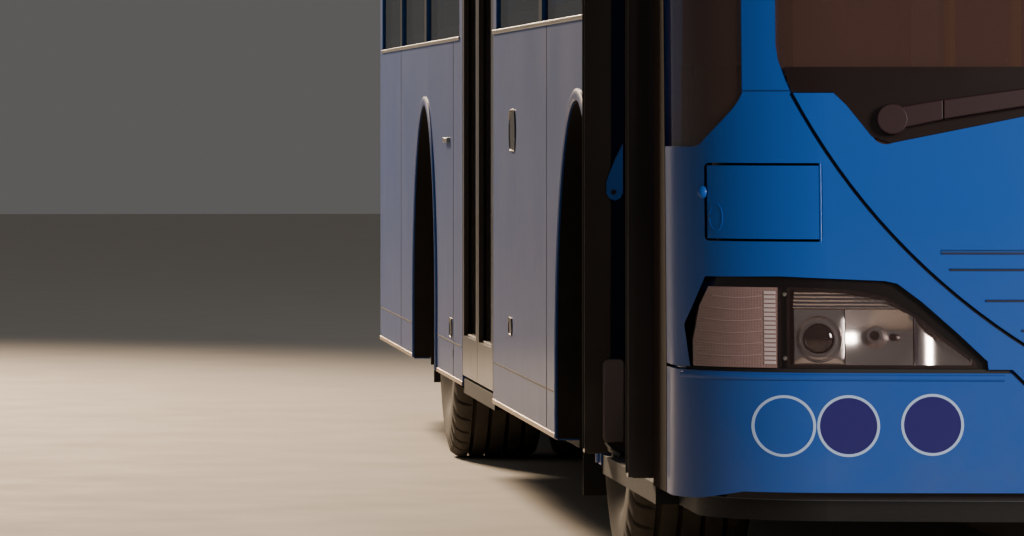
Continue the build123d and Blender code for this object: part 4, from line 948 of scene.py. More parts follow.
            # A bright galvanised arc on the upper rear of each slot's rim: a painted highlight.
            beads.tube(rim[8:12], 0.0032, 8)
        latch = ((0, 0), (0.001, 0.012), (0.002, 0.011), (0.002, 0))
        slot_shades_and_latch.turned(latch, Vector((-1.21, -SIDE_Y, 0.356)), Vector((0, -1, 0)))
        gutters = self.piece("roof_gutters", "seal", "black_plastic")
        for side in (-1, 1):
            gutters.slab(side, (-5.17, 5.18), (2.555, 2.567), 0.004)
        for piece, rounding in (
            (beads, 0.0015), (joints, 0.0), (edges, 0.001), (slot_shades_and_latch, 0.0006), (gutters, 0.001),
        ):
            piece.done(bevel=rounding)

    def front_gaskets_and_painted_shade(self) -> None:
        """Lay the dark sealant in the front's seams, the louvres' floors in painted shade and their painted
        shadow lines.
        """
        gaskets = self.piece("front_seam_gaskets", "seal", "black_plastic")
        groove = [(0.43, 0.4233)] + arc((0.638, 0.590), (0.879, 0.791), (1.071, 1.067))
        seams = (
            (groove, 64), ([(1.262, 0.545), (0.672, 0.545)], 24), ([(0.664, 0.5415), (0.55, 0.4265)], 24),
            ([(0.545, 0.425), (0.004, 0.425)], 24),
        )
        for side in (-1, 1):
            for points, steps in seams:
                gaskets.strip(mirrored(side, points), *SEALANT, steps)
        gaskets.done()
        painted_shade_floors = self.piece("front_louvre_floors", "recess_blue", "body_paint")
        lines = self.piece("front_louvre_shadow_lines", "recess_navy", "body_paint")
        for z, reach, tall in (
            (0.768, 0.797, 0.009), (0.735, 0.782, 0.005), (0.677, 0.716, 0.005), (0.621, 0.65, 0.005),
        ):
            # The louvre floors are painted shade: a darker blue than the panel round them.
            painted_shade_floors.strip([(-reach, z), (reach, z)], tall * 0.48, -0.0045, -0.0078)
            # Each louvre's lower edge carries a thin line of painted shadow.
            foot = z - tall * 0.5 + 0.0019
            lines.strip([(0.002 - reach, foot), (reach - 0.002, foot)], 0.0017, -0.0032, -0.006)
        for side in (-1, 1):
            # A thin line of painted shadow across each front corner.
            lines.strip([(side * 1.166, 1.071), (side * 1.062, 1.071)], 0.0009, 0.0004, -0.0008, 10)
        painted_shade_floors.done()
        lines.done()


@dataclass
class FrontEnd(Dressing):
    """The lamps, wipers, blank round film discs and the flap's furniture on the front."""

    disc_radius: float = 0.058
    ring_width: float = 0.005
    discs: tuple[tuple[float, float, bool], ...] = (
        (1.088, 0.441, False), (0.970, 0.442, True), (0.815, 0.445, True),
    )
    knob: Pair = (-1.2255, 0.879)
    projector: Pair = (1.027, 0.604)
    main_beam: Pair = (0.923, 0.611)
    brow: tuple[Pair, ...] = (
        (0.735, 0.565), (0.787, 0.601), (0.833, 0.638), (0.874, 0.663), (0.902, 0.680), (0.966, 0.692),
        (1.077, 0.697),
    )

    def dress(self) -> None:
        """Add what sits on the front."""
        self.blank_discs()
        self.bumper_shoulder()
        self.head_lamps()
        self.turn_signals()
        self.flap_furniture()
        self.wipers()
        self.mirror_glass()

    def blank_discs(self) -> None:
        """Add the three round films on the bumper, left blank."""
        rings = self.piece("bumper_disc_rings", "sticker_white", "body_paint")
        fills = self.piece("bumper_disc_fills", "sticker_indigo", "body_paint")
        inner = self.disc_radius - self.ring_width
        for out, z, filled in self.discs:
            rings.skin_ring((-out, z), inner, self.disc_radius, 0.0006, -0.0004)
            if filled:
                fills.skin_ring((-out, z), 0.0, inner, 0.0005, -0.0004)
        rings.done()
        fills.done()

    def bumper_shoulder(self) -> None:
        """Round the bumper's upper edge under the lamps, where it catches the light."""
        shoulder = self.piece("bumper_shoulders", "blue_enamel", "body_paint")
        for side in (-1, 1):
            rings = []
            for step in range(49):
                y = side * (0.682 + (1.262 - 0.682) * step / 48)
                rings.append([SKIN.point(y, 0.5325 + 0.0062 * c, 0.0040 * s) for c, s in circle(14)])
            shoulder.rings(rings, caps=True)
        shoulder.done(smooth=60)

    def lamp_top(self, out: float) -> float:
        """Return the height of the head lamp's upper edge at a distance out."""
        for (a, low), (b, high) in zip(self.brow, self.brow[1:]):
            if out <= b:
                return low + (high - low) * max(out - a, 0.0) / (b - a) - 0.003
        return self.brow[-1][1] - 0.003

    def bowl(
        self, piece: Piece, side: int, reach: Pair, rise: Pair, depth: Callable[[float, float], float]
    ) -> None:
        """Add one pressed reflector cell that follows the skin at a varying depth.

        Args:
            piece: the piece it joins.
            side: +1 on the driver's side.
            reach: where it starts and ends, out from the bus's middle.
            rise: its foot and its greatest height.
            depth: how far behind the skin it lies at (out, height).
        """
        columns = [reach[0] + (reach[1] - reach[0]) * column / 18 for column in range(19)]
        tall = [max(min(rise[1], self.lamp_top(out)) - rise[0], 0.001) for out in columns]
        cells = [[(out, rise[0] + t * row / 22) for out, t in zip(columns, tall)] for row in range(23)]
        piece.grid(*(
            [[SKIN.point(side * out, z, -depth(out, z) - thick) for out, z in row] for row in cells]
            for thick in (0.0, 0.0015)
        ))

    def head_lamps(self) -> None:
        """Fill each head lamp: projector, main-beam bowl, bright corner and the stepped brow."""
        mirrors = self.piece("headlamp_reflectors", "reflector", "lamp_clear")
        shades = self.piece("headlamp_projectors", "projector", "lamp_clear")
        rims = self.piece("headlamp_rings", "reflector_rim", "lamp_clear")

        def squared(out: float, z: float) -> float:
            """Return the projector cell's depth, deeper at its corners."""
            away = max(abs(out - self.projector[0]), abs(z - 0.605)) / 0.047
            return 0.019 + 0.004 * min(1.0, away**6)

        def round_bowl(out: float, z: float) -> float:
            """Return the main beam's depth, greatest in its middle."""
            return 0.039 - 0.024 * min(1.0, math.dist((out, z), self.main_beam) / 0.072) ** 2

        def trough(out: float, z: float) -> float:
            """Return the inner corner's depth, greatest along its middle."""
            return 0.012 + 0.024 * math.sin(math.pi * min(1.0, (out - 0.742) / 0.107)) ** 0.7

        def stepped(out: float, z: float) -> float:
            """Return the brow's depth, in low steps."""
            return 0.017 + 0.010 * ((z - 0.662) / 0.035) - 0.0012 * math.sin((z - 0.662) * 900)

        cells = (
            ((0.979, 1.076), (0.556, 0.660), squared), ((0.851, 0.977), (0.556, 0.660), round_bowl),
            ((0.742, 0.849), (0.556, 0.700), trough), ((0.851, 1.076), (0.662, 0.700), stepped),
        )
        # Each ring's place, inner and outer radius, outer and inner face, and steps.
        rounds = (
            (rims, self.projector, 0.0300, 0.0335, -0.011, -0.021, 64),
            (rims, self.projector, 0.0398, 0.0410, -0.0155, -0.021, 64),
            (rims, self.projector, 0.0433, 0.0445, -0.0165, -0.021, 64),
            (rims, self.main_beam, 0.0090, 0.0150, -0.020, -0.038, 40),
            (shades, self.main_beam, 0.0, 0.0085, -0.026, -0.039, 32),
            (shades, (0.889, 0.608), 0.0, 0.0070, -0.024, -0.036, 32),
        )
        for side in (-1, 1):
            for reach, rise, depth in cells:
                self.bowl(mirrors, side, reach, rise, depth)
            for piece, (y, z), *sizes in rounds:
                piece.skin_ring((side * y, z), *sizes)
            centre = (side * self.projector[0], self.projector[1])
            shades.skin_boss(centre, -0.020, dome(0.010, 0.0295, 10), 48)
        mirrors.done(smooth=50)
        shades.done(smooth=60)
        rims.done()

    def turn_signals(self) -> None:
        """Add the ribs on the turn signals, the reflector behind them and the lamp units' screws."""
        backs = self.piece("turn_signal_reflectors", "signal_back", "lamp_clear")
        ribs = self.piece("turn_signal_ribs", "rib_lens", "lamp_clear")
        ladders = self.piece("turn_signal_ladders", "ladder_lens", "lamp_clear")
        screws = self.piece("lamp_unit_screws", "galvanised", "black_plastic")
        for side in (-1, 1):
            inner, outer = ([(1.112, 0.556), (1.112, 0.695)], [(1.225, 0.556), (1.205, 0.695)])
            backs.skin_plate(mirrored(side, inner), mirrored(side, outer), -0.024, -0.030, 10, 16)
            for z in (0.575, 0.597, 0.619, 0.641, 0.663, 0.685):
                end = 1.24 - max(0.0, z - 0.6) * 0.3
                steps = [i / 12 for i in range(13)]
                line = [(1.130 + (end - 1.130) * s, z - 0.004 * math.sin(math.pi * s)) for s in steps]
                ribs.strip(mirrored(side, line), 0.0009, -0.0022, -0.0036, 24)
            for step in range(17):
                z = 0.560 + step * 0.0082
                ladders.strip([(side * 1.104, z), (side * 1.124, z)], 0.0028, -0.0020, -0.0036, 4)
            for z in (0.568, 0.688):
                head = ((0.0, 0.0), (0.0, 0.004), (0.002, 0.0036), (0.0026, 0.002), (0.0026, 0.0))
                screws.skin_boss((side * 1.0905, z), -0.0142, head, 20)
        for piece in (backs, ribs, ladders, screws):
            piece.done()

    def flap_furniture(self) -> None:
        """Add the flap's catch knob and its finger recess."""
        knob = self.piece("service_flap_knob", "blue_enamel", "body_paint")
        knob.skin_ring(self.knob, 0.0, 0.0045, 0.003, -0.002, 32)
        knob.skin_boss(self.knob, 0.0015, dome(0.009, 0.0125, 12), 36)
        knob.done(smooth=60)
        cup = self.piece("service_flap_recess", "blue_enamel", "body_paint", "service_flap")
        dark = self.piece("service_flap_recess_floor", "blue_enamel", "body_paint", "service_flap")
        oval = [(0.012 * c, 0.027 * s) for c, s in circle(40)]
        for ends in zip(oval, oval[1:] + oval[:1]):
            for piece, inner, outer, out in ((cup, 0.84, 1.0, 0.0012), (dark, 0.0, 0.84, 0.0004)):
                shares = (inner, outer)
                cells = [[(-1.205 + u * share, 0.832 + v * share) for u, v in ends] for share in shares]
                piece.skin_grid(cells, out, -0.0004)
        cup.done()
        dark.done()

    def wipers(self) -> None:
        """Replace the plain wipers by hubs, tapered arms and blades."""
        arms = self.piece("wiper_arms", "wiper_coat", "black_plastic")
        blades = self.piece("wiper_blades", "seal", "black_plastic")
        for side in (1, -1):
            hub, joint, tip = mirrored(side, ((-0.883, 1.018), (-0.789, 1.036), (-0.075, 1.144)))
            arms.skin_ring(hub, 0.0, 0.029, 0.0235, -0.005, 40)
            for start, end, wide, narrow, out, inside in (
                (hub, joint, 0.021, 0.019, 0.0215, 0.0045), (joint, tip, 0.0185, 0.0105, 0.0245, 0.0085),
            ):
                near, far = (
                    [(start[0], start[1] + way * wide), (end[0], end[1] + way * narrow)] for way in (-1, 1)
                )
                arms.skin_plate(near, far, out, inside, 24, 4)
            blades.strip(mirrored(side, ((-0.80, 1.0295), (-0.075, 1.1395))), 0.004, 0.007, -0.0055, 32)
        arms.done(bevel=0.003, hides=("wipers",))
        blades.done()

    def mirror_glass(self) -> None:
        """Add the mirror plates on the rearward faces of the mirror heads."""
        plates = self.piece("mirror_plates", "mirror_silver", "glazing")
        for side in (-1, 1):
            for rise in ((2.20, 2.455), (2.085, 2.185)):
                plates.slab(side, (5.6685, 5.671), rise, 0.16, 0.0, 1.34)
        plates.done(bevel=0.0008)


@dataclass
class Doors(Dressing):
    """The four leaves with their edge seals, glass bands and the small parts by the front door."""

    leaves: tuple[tuple[str, str, Pair, Pair], ...] = (
        ("front", "forward", (5.093, -1.319), (5.093, -0.701)),
        ("front", "rearward", (4.007, -1.319), (4.007, -0.701)),
        ("middle", "forward", (0.463, -1.255), (-0.155, -1.255)),
        ("middle", "rearward", (-0.783, -1.255), (-0.165, -1.255)),
    )

    def dress(self) -> None:
        """Finish the leaves and add their seals, their glass beads and the front door's fittings."""
        for door, leaf, *ends in self.leaves:
            self.paint("door_frame", f"{door}_door_leaf_{leaf}")
            self.paint("side_glass", f"{door}_door_glass_{leaf}")
            body = f"{door}_leaf_{leaf}"
            seals = self.piece(f"{door}_{leaf}_leaf_seals", "seal", "black_plastic", body)
            pivot, meeting = (Vector((*place, 0.0)) for place in ends)
            way = (meeting - pivot).normalized()
            for middle in (pivot + way * 0.003, meeting - way * 0.0045):
                seals.tube([middle + UP * z for z in (0.318, 1.3, 2.332)], 0.007, 10)
            start, end = pivot + way * 0.01, meeting - way * 0.01
            seals.tube([start + UP * 0.311, end + UP * 0.311], 0.004, 8, 3.0)
            seals.done()
            beads = self.piece(f"{door}_{leaf}_glass_beads", "seal", "black_plastic", body)
            inner, outer = start + way * 0.045, end - way * 0.045
            low, high = UP * 0.4225, UP * 2.2825
            for lift in (-0.0075, 0.0075):
                shift = Vector((-way.y, way.x, 0)) * lift
                ring = [point + shift for point in (inner + low, outer + low, outer + high, inner + high)]
                for pair in zip(ring, ring[1:] + ring[:1]):
                    beads.tube(pair, 0.0035, 6)
            beads.done()
        self.front_fittings()

    def front_fittings(self) -> None:
        """Add the post cover, and the blue bracket, grey cover and bright pivot on the rearward leaf."""
        leaf = "front_leaf_rearward"
        post = self.piece("front_door_post_cover", "post_cover", "door_frame")
        outline = [(5.19, 0.2985), (5.47, 0.2985), (5.47, 0.545), (5.28, 2.43), (5.19, 2.43)]
        post.prism(outline, upright(), (-1.2758, -1.2745))
        post.done()
        bracket = self.piece("door_bracket", "blue_enamel", "body_paint", leaf)
        outline = [(-1.238, 0.966), (-1.238, 0.862), (-1.243, 0.850), (-1.254, 0.845), (-1.266, 0.849),
                   (-1.273, 0.860), (-1.273, 0.885), (-1.266, 0.905), (-1.252, 0.938)]
        bracket.prism(outline, crosswise, (4.0272, 4.0325))
        bracket.done(bevel=0.001)
        bolt = self.piece("door_bracket_bolt", "lamp_black", "black_plastic", leaf)
        head = ((0.0, 0.0), (0.0, 0.006), (0.003, 0.0055), (0.003, 0.0))
        bolt.turned(head, Vector((4.0325, -1.2575, 0.863)), Vector((1, 0, 0)), 6)
        bolt.done()
        cover = self.piece("door_pivot_cover", "grey_cover", "black_plastic", leaf)
        outline = [(-1.235, 0.332), (-1.235, 0.502), (-1.241, 0.509), (-1.274, 0.509), (-1.281, 0.500),
                   (-1.281, 0.340), (-1.276, 0.332)]
        cover.prism(outline, crosswise, (4.0275, 4.046))
        cover.done(bevel=0.006)
        arm = self.piece("door_pivot_arm", "galvanised", "door_frame", leaf)
        line = ((4.035, -1.272, 0.333), (4.036, -1.266, 0.318), (4.038, -1.245, 0.304))
        arm.tube([Vector(point) for point in line], 0.006, 10)
        arm.done()


@dataclass(frozen=True)
class WheelKind:
    """What differs between a front wheel and a rear pair."""

    end: str
    plural: str
    axle_x: float
    middle_y: float
    twins: tuple[float, ...]
    discs: tuple[int, ...]
    dish: tuple[Pair, ...]
    hand_holes: Pair
    nuts_out: float
    hub: tuple[Pair, ...]
    hub_steps: int
    bolts: tuple[int, float, float]
    bolt: Pair


FRONT_WHEEL = WheelKind(
    "front", "", AXLES[0], 1.05, (0.0,), (1,),
    dish=((0.2565, 0.046), (0.235, 0.058), (0.190, 0.072), (0.18, 0.073)), hand_holes=(0.2225, 0.0215),
    nuts_out=0.0745,
    hub=((-0.066, 0.0), (-0.066, 0.085), (0.076, 0.085), (0.078, 0.094), (0.088, 0.094), (0.092, 0.078),
         (0.112, 0.070), (0.121, 0.058), (0.124, 0.0)),
    hub_steps=48, bolts=(6, 0.086, 0.088), bolt=(0.006, 0.0065),
)
REAR_WHEELS = WheelKind(
    "rear", "s", AXLES[1], 0.917, (-0.1555, 0.1555), (1, -1),
    dish=((0.2565, 0.052), (0.246, 0.030), (0.232, 0.016), (0.18, 0.014)), hand_holes=(0.2115, 0.0185),
    nuts_out=0.016,
    hub=((-0.128, 0.0), (-0.128, 0.108), (0.018, 0.110), (0.105, 0.106), (0.110, 0.112), (0.122, 0.112),
         (0.127, 0.098), (0.150, 0.080), (0.168, 0.060), (0.170, 0.0)),
    hub_steps=56, bolts=(12, 0.103, 0.122), bolt=(0.007, 0.0075),
)


@dataclass
class Wheels(Dressing):
    """Tyres with their tread, the steel wheels they sit on, and the running gear."""

    tyre_half: float = 0.138
    rim_radius: float = 0.286
    groove_depth: float = 0.014
    lug_depth: float = 0.010
    lugs: int = 46
    stud_circle: float = 0.1675

    def tyre(self, piece: Piece, origin: Vector, side: float) -> None:
        """Add one tyre with four grooves round it and cut lugs along its shoulders.

        Args:
            piece: the piece that the tyre joins.
            origin: the tyre's middle.
            side: +1 on the driver's side.
        """
        outer, half, seat = AXLE_Z, self.tyre_half, self.rim_radius + 0.0005
        flank = [(0.098, seat), (0.113, seat + 0.018), (half * 0.95, 0.340), (half * 0.985, 0.360),
                 (half, 0.385),
                 (half * 0.992, 0.403), (half * 0.995, 0.406), (half * 0.975, 0.425)]
        shoulder = [(half * 0.935, 0.450), (0.125, 0.463), (0.113, outer - 0.006), (0.100, outer - 0.001)]
        groove = ((-0.007, 0.0004), (-0.004, self.groove_depth), (0.004, self.groove_depth), (0.007, 0.0004))
        section = [(-y, r, 0.0) for y, r in flank] + [(-y, r, self.lug_depth) for y, r in shoulder]
        lines = (-0.075, -0.026, 0.026, 0.075)
        section += [(y + across, outer - deep, 0.0) for y in lines for across, deep in groove]
        section += [(y, r, self.lug_depth) for y, r in reversed(shoulder)]
        section += [(y, r, 0.0) for y, r in reversed(flank)]
        pitch = 2 * math.pi / self.lugs
        cuts = ((0.0, 0.0), (0.4, 0.0), (0.8, 0.0), (0.84, 1.0), (0.96, 1.0))
        turns = [(pitch * (lug + share), cut) for lug in range(self.lugs) for share, cut in cuts]
        rings = []
        for out, radius, depth in section:
            spots = [(angle, radius - depth * cut) for angle, cut in turns]
            spots = [(far * math.cos(angle), far * math.sin(angle)) for angle, far in spots]
            rings.append([origin + Vector((u, side * out, v)) for u, v in spots])
        piece.rings(rings, closed=True)

    def barrel(self, piece: Piece, origin: Vector, side: float) -> None:
        """Add one wheel's barrel with its two flanges."""
        section = [(-0.108, 0.2855), (-0.101, 0.2855), (-0.096, 0.2715), (0.096, 0.2715), (0.101, 0.2855),
                   (0.108, 0.2855), (0.1085, 0.272), (0.1065, 0.266), (0.088, 0.2625), (0.03, 0.2555),
                   (-0.03, 0.2555), (-0.088, 0.2625), (-0.108, 0.266)]
        piece.turned(section, origin, Vector((0, side, 0)), 72, closed=True)

    def disc(self, piece: Piece, origin: Vector, side: float, kind: WheelKind) -> None:
        """Add one wheel's dished disc with ten hand holes, and its bolting face.

        Args:
            piece: the piece it joins.
            origin: the point that the dish is measured from.
            side: +1 where out is towards +Y.
            kind: the wheel's sizes.
        """
        def height(radius: float) -> float:
            """Return how far out the disc lies at a radius."""
            for (r0, h0), (r1, h1) in zip(kind.dish, kind.dish[1:]):
                if radius >= r1:
                    return h0 + (h1 - h0) * (r0 - min(radius, r0)) / (r0 - r1)
            return kind.dish[-1][1]

        far, hole = kind.hand_holes
        holes = [(u, v, hole) for u, v in circle(10, far, 0.5)]
        piece.pierced((0.2565, 0.190), holes, height, origin, side, 0.009)
        flat, edge = height(0.18), height(0.190)
        section = [(edge, 0.190), (flat + 0.0015, 0.186), (flat + 0.0015, 0.075), (flat - 0.009, 0.075),
                   (edge - 0.009, 0.190)]
        piece.turned(section, origin, Vector((0, side, 0)), 60, closed=True)

    def wheel(self, kind: WheelKind, hand: str, side: int) -> None:
        """Replace one front wheel's plain rim, or one rear pair's, and add its nuts and its hub."""
        body = f"{kind.end}_wheel{kind.plural}_{hand}"
        origin = Vector((kind.axle_x, side * kind.middle_y, AXLE_Z))
        out = Vector((0, side, 0))
        wheel = self.piece(f"{kind.end}_steel_wheel{kind.plural}_{hand}", "rim", "rim_paint", body)
        for offset in kind.twins:
            self.barrel(wheel, origin + out * offset, side)
        for way in kind.discs:
            self.disc(wheel, origin, side * way, kind)
        wheel.done(hides=(f"{kind.end}_rim{kind.plural}_{hand}",))
        nuts = self.piece(f"{kind.end}_wheel_nuts_{hand}", "zinc_nut", "rim_paint", body)
        nut = [(0.0, 0.0), (0.0, 0.021), (0.004, 0.021), (0.005, 0.0165), (0.021, 0.0165), (0.024, 0.013),
               (0.024, 0.0)]
        stud = [(0.0, 0.0), (0.0, 0.0095), (0.034, 0.0095), (0.036, 0.007), (0.036, 0.0)]
        for u, v in circle(10, self.stud_circle):
            foot = origin + Vector((u, side * kind.nuts_out, v))
            nuts.turned(nut, foot, out, 6)
            nuts.turned(stud, foot, out, 16)
        nuts.done()
        hub = self.piece(f"{kind.end}_hub_{hand}", "cast_iron", "rim_paint", body)
        hub.turned(kind.hub, origin, out, kind.hub_steps)
        count, far, bolts_out = kind.bolts
        for u, v in circle(count, far, 0.5):
            hub.turned(plug(*kind.bolt), origin + Vector((u, side * bolts_out, v)), out, 6)
        hub.done()

    def bellows(self) -> None:
        """Replace the plain air springs by rolled bellows between two plates."""
        rubber = self.piece("air_spring_bellows", "seal", "bellows_rubber")
        section = [(0.0, 0.0), (0.0, 0.080), (0.008, 0.082)]
        for lobe in (0.010, 0.076):
            section += [(lobe + 0.0064 * i, 0.078 + 0.017 * math.sin(math.pi * i / 10)) for i in range(11)]
        section += [(0.143, 0.082), (0.151, 0.080), (0.151, 0.0)]
        for side in (-1, 1):
            for end in (-1, 1):
                rubber.turned(section, Vector((AXLES[1] + end * 0.36, side * 0.48, 0.429)), UP, 40)
        rubber.done(hides=("air_springs",))

    def dress(self) -> None:
        """Replace the plain tyres, rims and springs."""
        for side, hand in ((-1, "right"), (1, "left")):
            for kind in (FRONT_WHEEL, REAR_WHEELS):
                node = f"{kind.end}_tyre{kind.plural}_{hand}"
                body = f"{kind.end}_wheel{kind.plural}_{hand}"
                tyres = self.piece(f"{node}_treaded", "tyre", "tyre_rubber", body)
                for offset in kind.twins:
                    self.tyre(tyres, Vector((kind.axle_x, side * (kind.middle_y + offset), AXLE_Z)), side)
                tyres.done(hides=(node,))
            self.wheel(FRONT_WHEEL, hand, side)
            self.wheel(REAR_WHEELS, hand, side)
        self.bellows()


@dataclass
class Cabin(Dressing):
    """What shows through the glass: seats, driver's place, steering wheel and linings."""

    seat_y: float = 0.735
    seat_step: float = 0.2145
    # Each row's place forward, its side, its floor and the way it faces.
    rows: tuple[tuple[float, int, float, int], ...] = (
        (2.12, -1, 0.3, 1), (1.32, -1, 0.3, 1), (2.12, 1, 0.3, 1), (1.32, 1, 0.3, 1), (0.52, 1, 0.3, 1),
        (-1.595, -1, 0.3, -1), (-1.595, 1, 0.3, -1), (-3.455, -1, 0.7, 1), (-3.455, 1, 0.7, 1),
        (-4.475, -1, 1.2, 1), (-4.475, 1, 1.2, 1), (-5.375, -1, 1.2, 1), (-5.375, 1, 1.2, 1),
    )

    def dress(self) -> None:
        """Build the seats, the steering wheel and the linings."""
        self.seats()
        self.driver_seat()
        self.steering()
        self.linings()

    def pads(
        self, piece: Piece, foot: Triple, facing: int, wide: float, base: Triple, back: Triple, rest: Pair
    ) -> None:
        """Add a seat's base pad and back pad.

        Args:
            piece: the piece they join.
            foot: the floor under the seat.
            facing: +1 when the seat looks forward.
            wide: the pads' width.
            base: the base pad's place forward, its height and its thickness.
            back: the back pad's foot and top heights and its thickness.
            rest: how far behind the seat's middle the back's foot and top are.
        """
        x, y, z = foot
        piece.cushion(lambda u, v, w: Vector((x + facing * (base[0] + v), y + u, z + base[1] + w)),
                      (wide, 0.40, base[2]), base[2] * 0.42, 0.010, 2)
        rise, slope = back[1] - back[0], rest[1] - rest[0]
        length = math.hypot(rise, slope)
        up, lean = rise / length, slope / length
        behind, middle = (rest[0] + rest[1]) / 2, z + (back[0] + back[1]) / 2

        def on_back(u: float, v: float, w: float) -> Vector:
            """Place a point of the leaning back pad."""
            return Vector((x - facing * (behind + v * lean - w * up), y + u, middle + v * up + w * lean))

        piece.cushion(on_back, (wide, length, back[2]), back[2] * 0.42, 0.009, 2)

    def seats(self) -> None:
        """Replace the plain passenger seats by padded pairs on moulded shells."""
        pads = self.piece("passenger_seat_pads", "moquette", "seat_cloth")
        shells = self.piece("passenger_seat_shells", "seat_shell", "lining")
        pan = [(0.245, 0.352), (0.245, 0.336), (-0.17, 0.336), (-0.232, 0.42), (-0.281, 0.872),
               (-0.274, 0.888),
               (-0.262, 0.888), (-0.205, 0.42), (-0.155, 0.358)]
        leg = [(-0.085, 0.0), (0.055, 0.0), (0.055, 0.012), (0.012, 0.03), (0.03, 0.336), (-0.07, 0.336),
               (-0.045, 0.03), (-0.085, 0.012)]
        for x, side, z, facing in self.rows:
            for step in (-self.seat_step, self.seat_step):
                place = (x, side * self.seat_y + step, z)
                base, back, rest = (0.048, 0.391, 0.066), (0.44, 0.875, 0.05), (0.158, 0.238)
                self.pads(pads, place, facing, 0.405, base, back, rest)
                shells.prism(pan, upright(place, facing), (-0.209, 0.209))
            for step in (-0.20, 0.3):
                shells.prism(leg, upright((x, side * (self.seat_y + step), z), facing), (-0.03, 0.03))
        pads.done(smooth=60, hides=("passenger_seats",))
        shells.done(bevel=0.004, hides=("passenger_seats",))

    def driver_seat(self) -> None:
        """Replace the driver's plain seat by a padded one on a sprung pedestal."""
        pads = self.piece("driver_seat_pads", "moquette", "seat_cloth")
        x, y, z = place = (4.645, 0.72, 0.48)
        self.pads(pads, place, 1, 0.45, (0.045, 0.385, 0.088), (0.44, 0.90, 0.075), (0.155, 0.213))
        pads.cushion(lambda u, v, w: Vector((x - 0.225 - v * 0.14 + w, y + u, z + 1.01 + v)),
                     (0.27, 0.17, 0.07), 0.028, 0.006)
        pads.done(smooth=60, hides=("driver_seat",))
        base = self.piece("driver_seat_base", "dash", "black_plastic")
        half = [(0.20, 0.0), (0.20, 0.02), (0.12, 0.05), (0.16, 0.09), (0.11, 0.13), (0.16, 0.17),
                (0.11, 0.21),
                (0.17, 0.25), (0.20, 0.325)]
        base.prism(half + mirrored(-1, reversed(half)), upright((x - 0.01, y, z)), (-0.15, 0.15))
        back = [(-0.205, 0.33), (-0.232, 0.42), (-0.277, 1.09), (-0.262, 1.10), (-0.205, 0.42), (0.24, 0.345),
                (0.24, 0.33)]
        base.prism(back, upright(place), (-0.22, 0.22))
        base.done(bevel=0.004, hides=("driver_seat",))

    def steering(self) -> None:
        """Replace the plain steering wheel by a round rim, four spokes, a hub and its column."""
        wheel = self.piece("steering_wheel_rim", "dash", "black_plastic")
        tilt = math.radians(30)
        way = Vector((-math.sin(tilt), 0, math.cos(tilt)))
        ahead = Vector((math.cos(tilt), 0, math.sin(tilt)))
        middle = Vector((5.285, 0.72, 1.05))
        grip = [(0.013 + s, 0.2115 + c) for c, s in circle(12, 0.0125)]
        wheel.turned(grip, middle, way, 64, closed=True)
        hub = [(0.0, 0.0), (0.0, 0.052), (0.012, 0.056), (0.022, 0.046), (0.024, 0.0)]
        wheel.turned(hub, middle, way, 40)
        for angle in (20, 160, 215, 325):
            turn = math.radians(angle)
            run = Vector((0, 1, 0)) * math.cos(turn) + ahead * math.sin(turn)
            reaches = ((0.011, 0.04), (0.009, 0.12), (0.013, 0.206))
            spoke = [middle + way * lift + run * far for lift, far in reaches]
            wheel.tube(spoke, 0.006, 10, 2.4)
        column = [(0.0, 0.0), (0.0, 0.026), (-0.03, 0.024), (-0.10, 0.027), (-0.25, 0.027), (-0.25, 0.0)]
        wheel.turned(column, middle, way, 24)
        wheel.done(hides=("steering_wheel",))

    def linings(self) -> None:
        """Line the walls and the ceiling, which the outside paint would otherwise show on."""
        lining = self.piece("side_linings", "lining", "lining")
        tail = ((-3.66, -3.16, 0.71), (-5.15, -3.72, 1.21))
        for side, spans in (
            (-1, ((0.48, 2.66, 0.31), (-1.97, -0.80, 0.31), *tail)),
            (1, ((-1.97, 2.66, 0.31), (3.88, 5.1, 0.49), *tail)),
        ):
            for low_x, high_x, low in spans:
                lining.slab(side, (low_x, high_x), (low, 1.246), -0.0515, 0.0555)
                lining.slab(side, (low_x, high_x), (1.236, 1.247), -0.0495, 0.0575)
        lining.done(bevel=0.001)
        ceiling = self.piece("ceiling_lining", "lining", "lining")
        profile = [(-1.06, 2.70), (-0.9, 2.792), (0.9, 2.792), (1.06, 2.70), (1.058, 2.697), (0.9, 2.788),
                   (-0.9, 2.788), (-1.058, 2.697)]
        ceiling.prism(profile, crosswise, (-5.45, 5.1))
        ceiling.done()


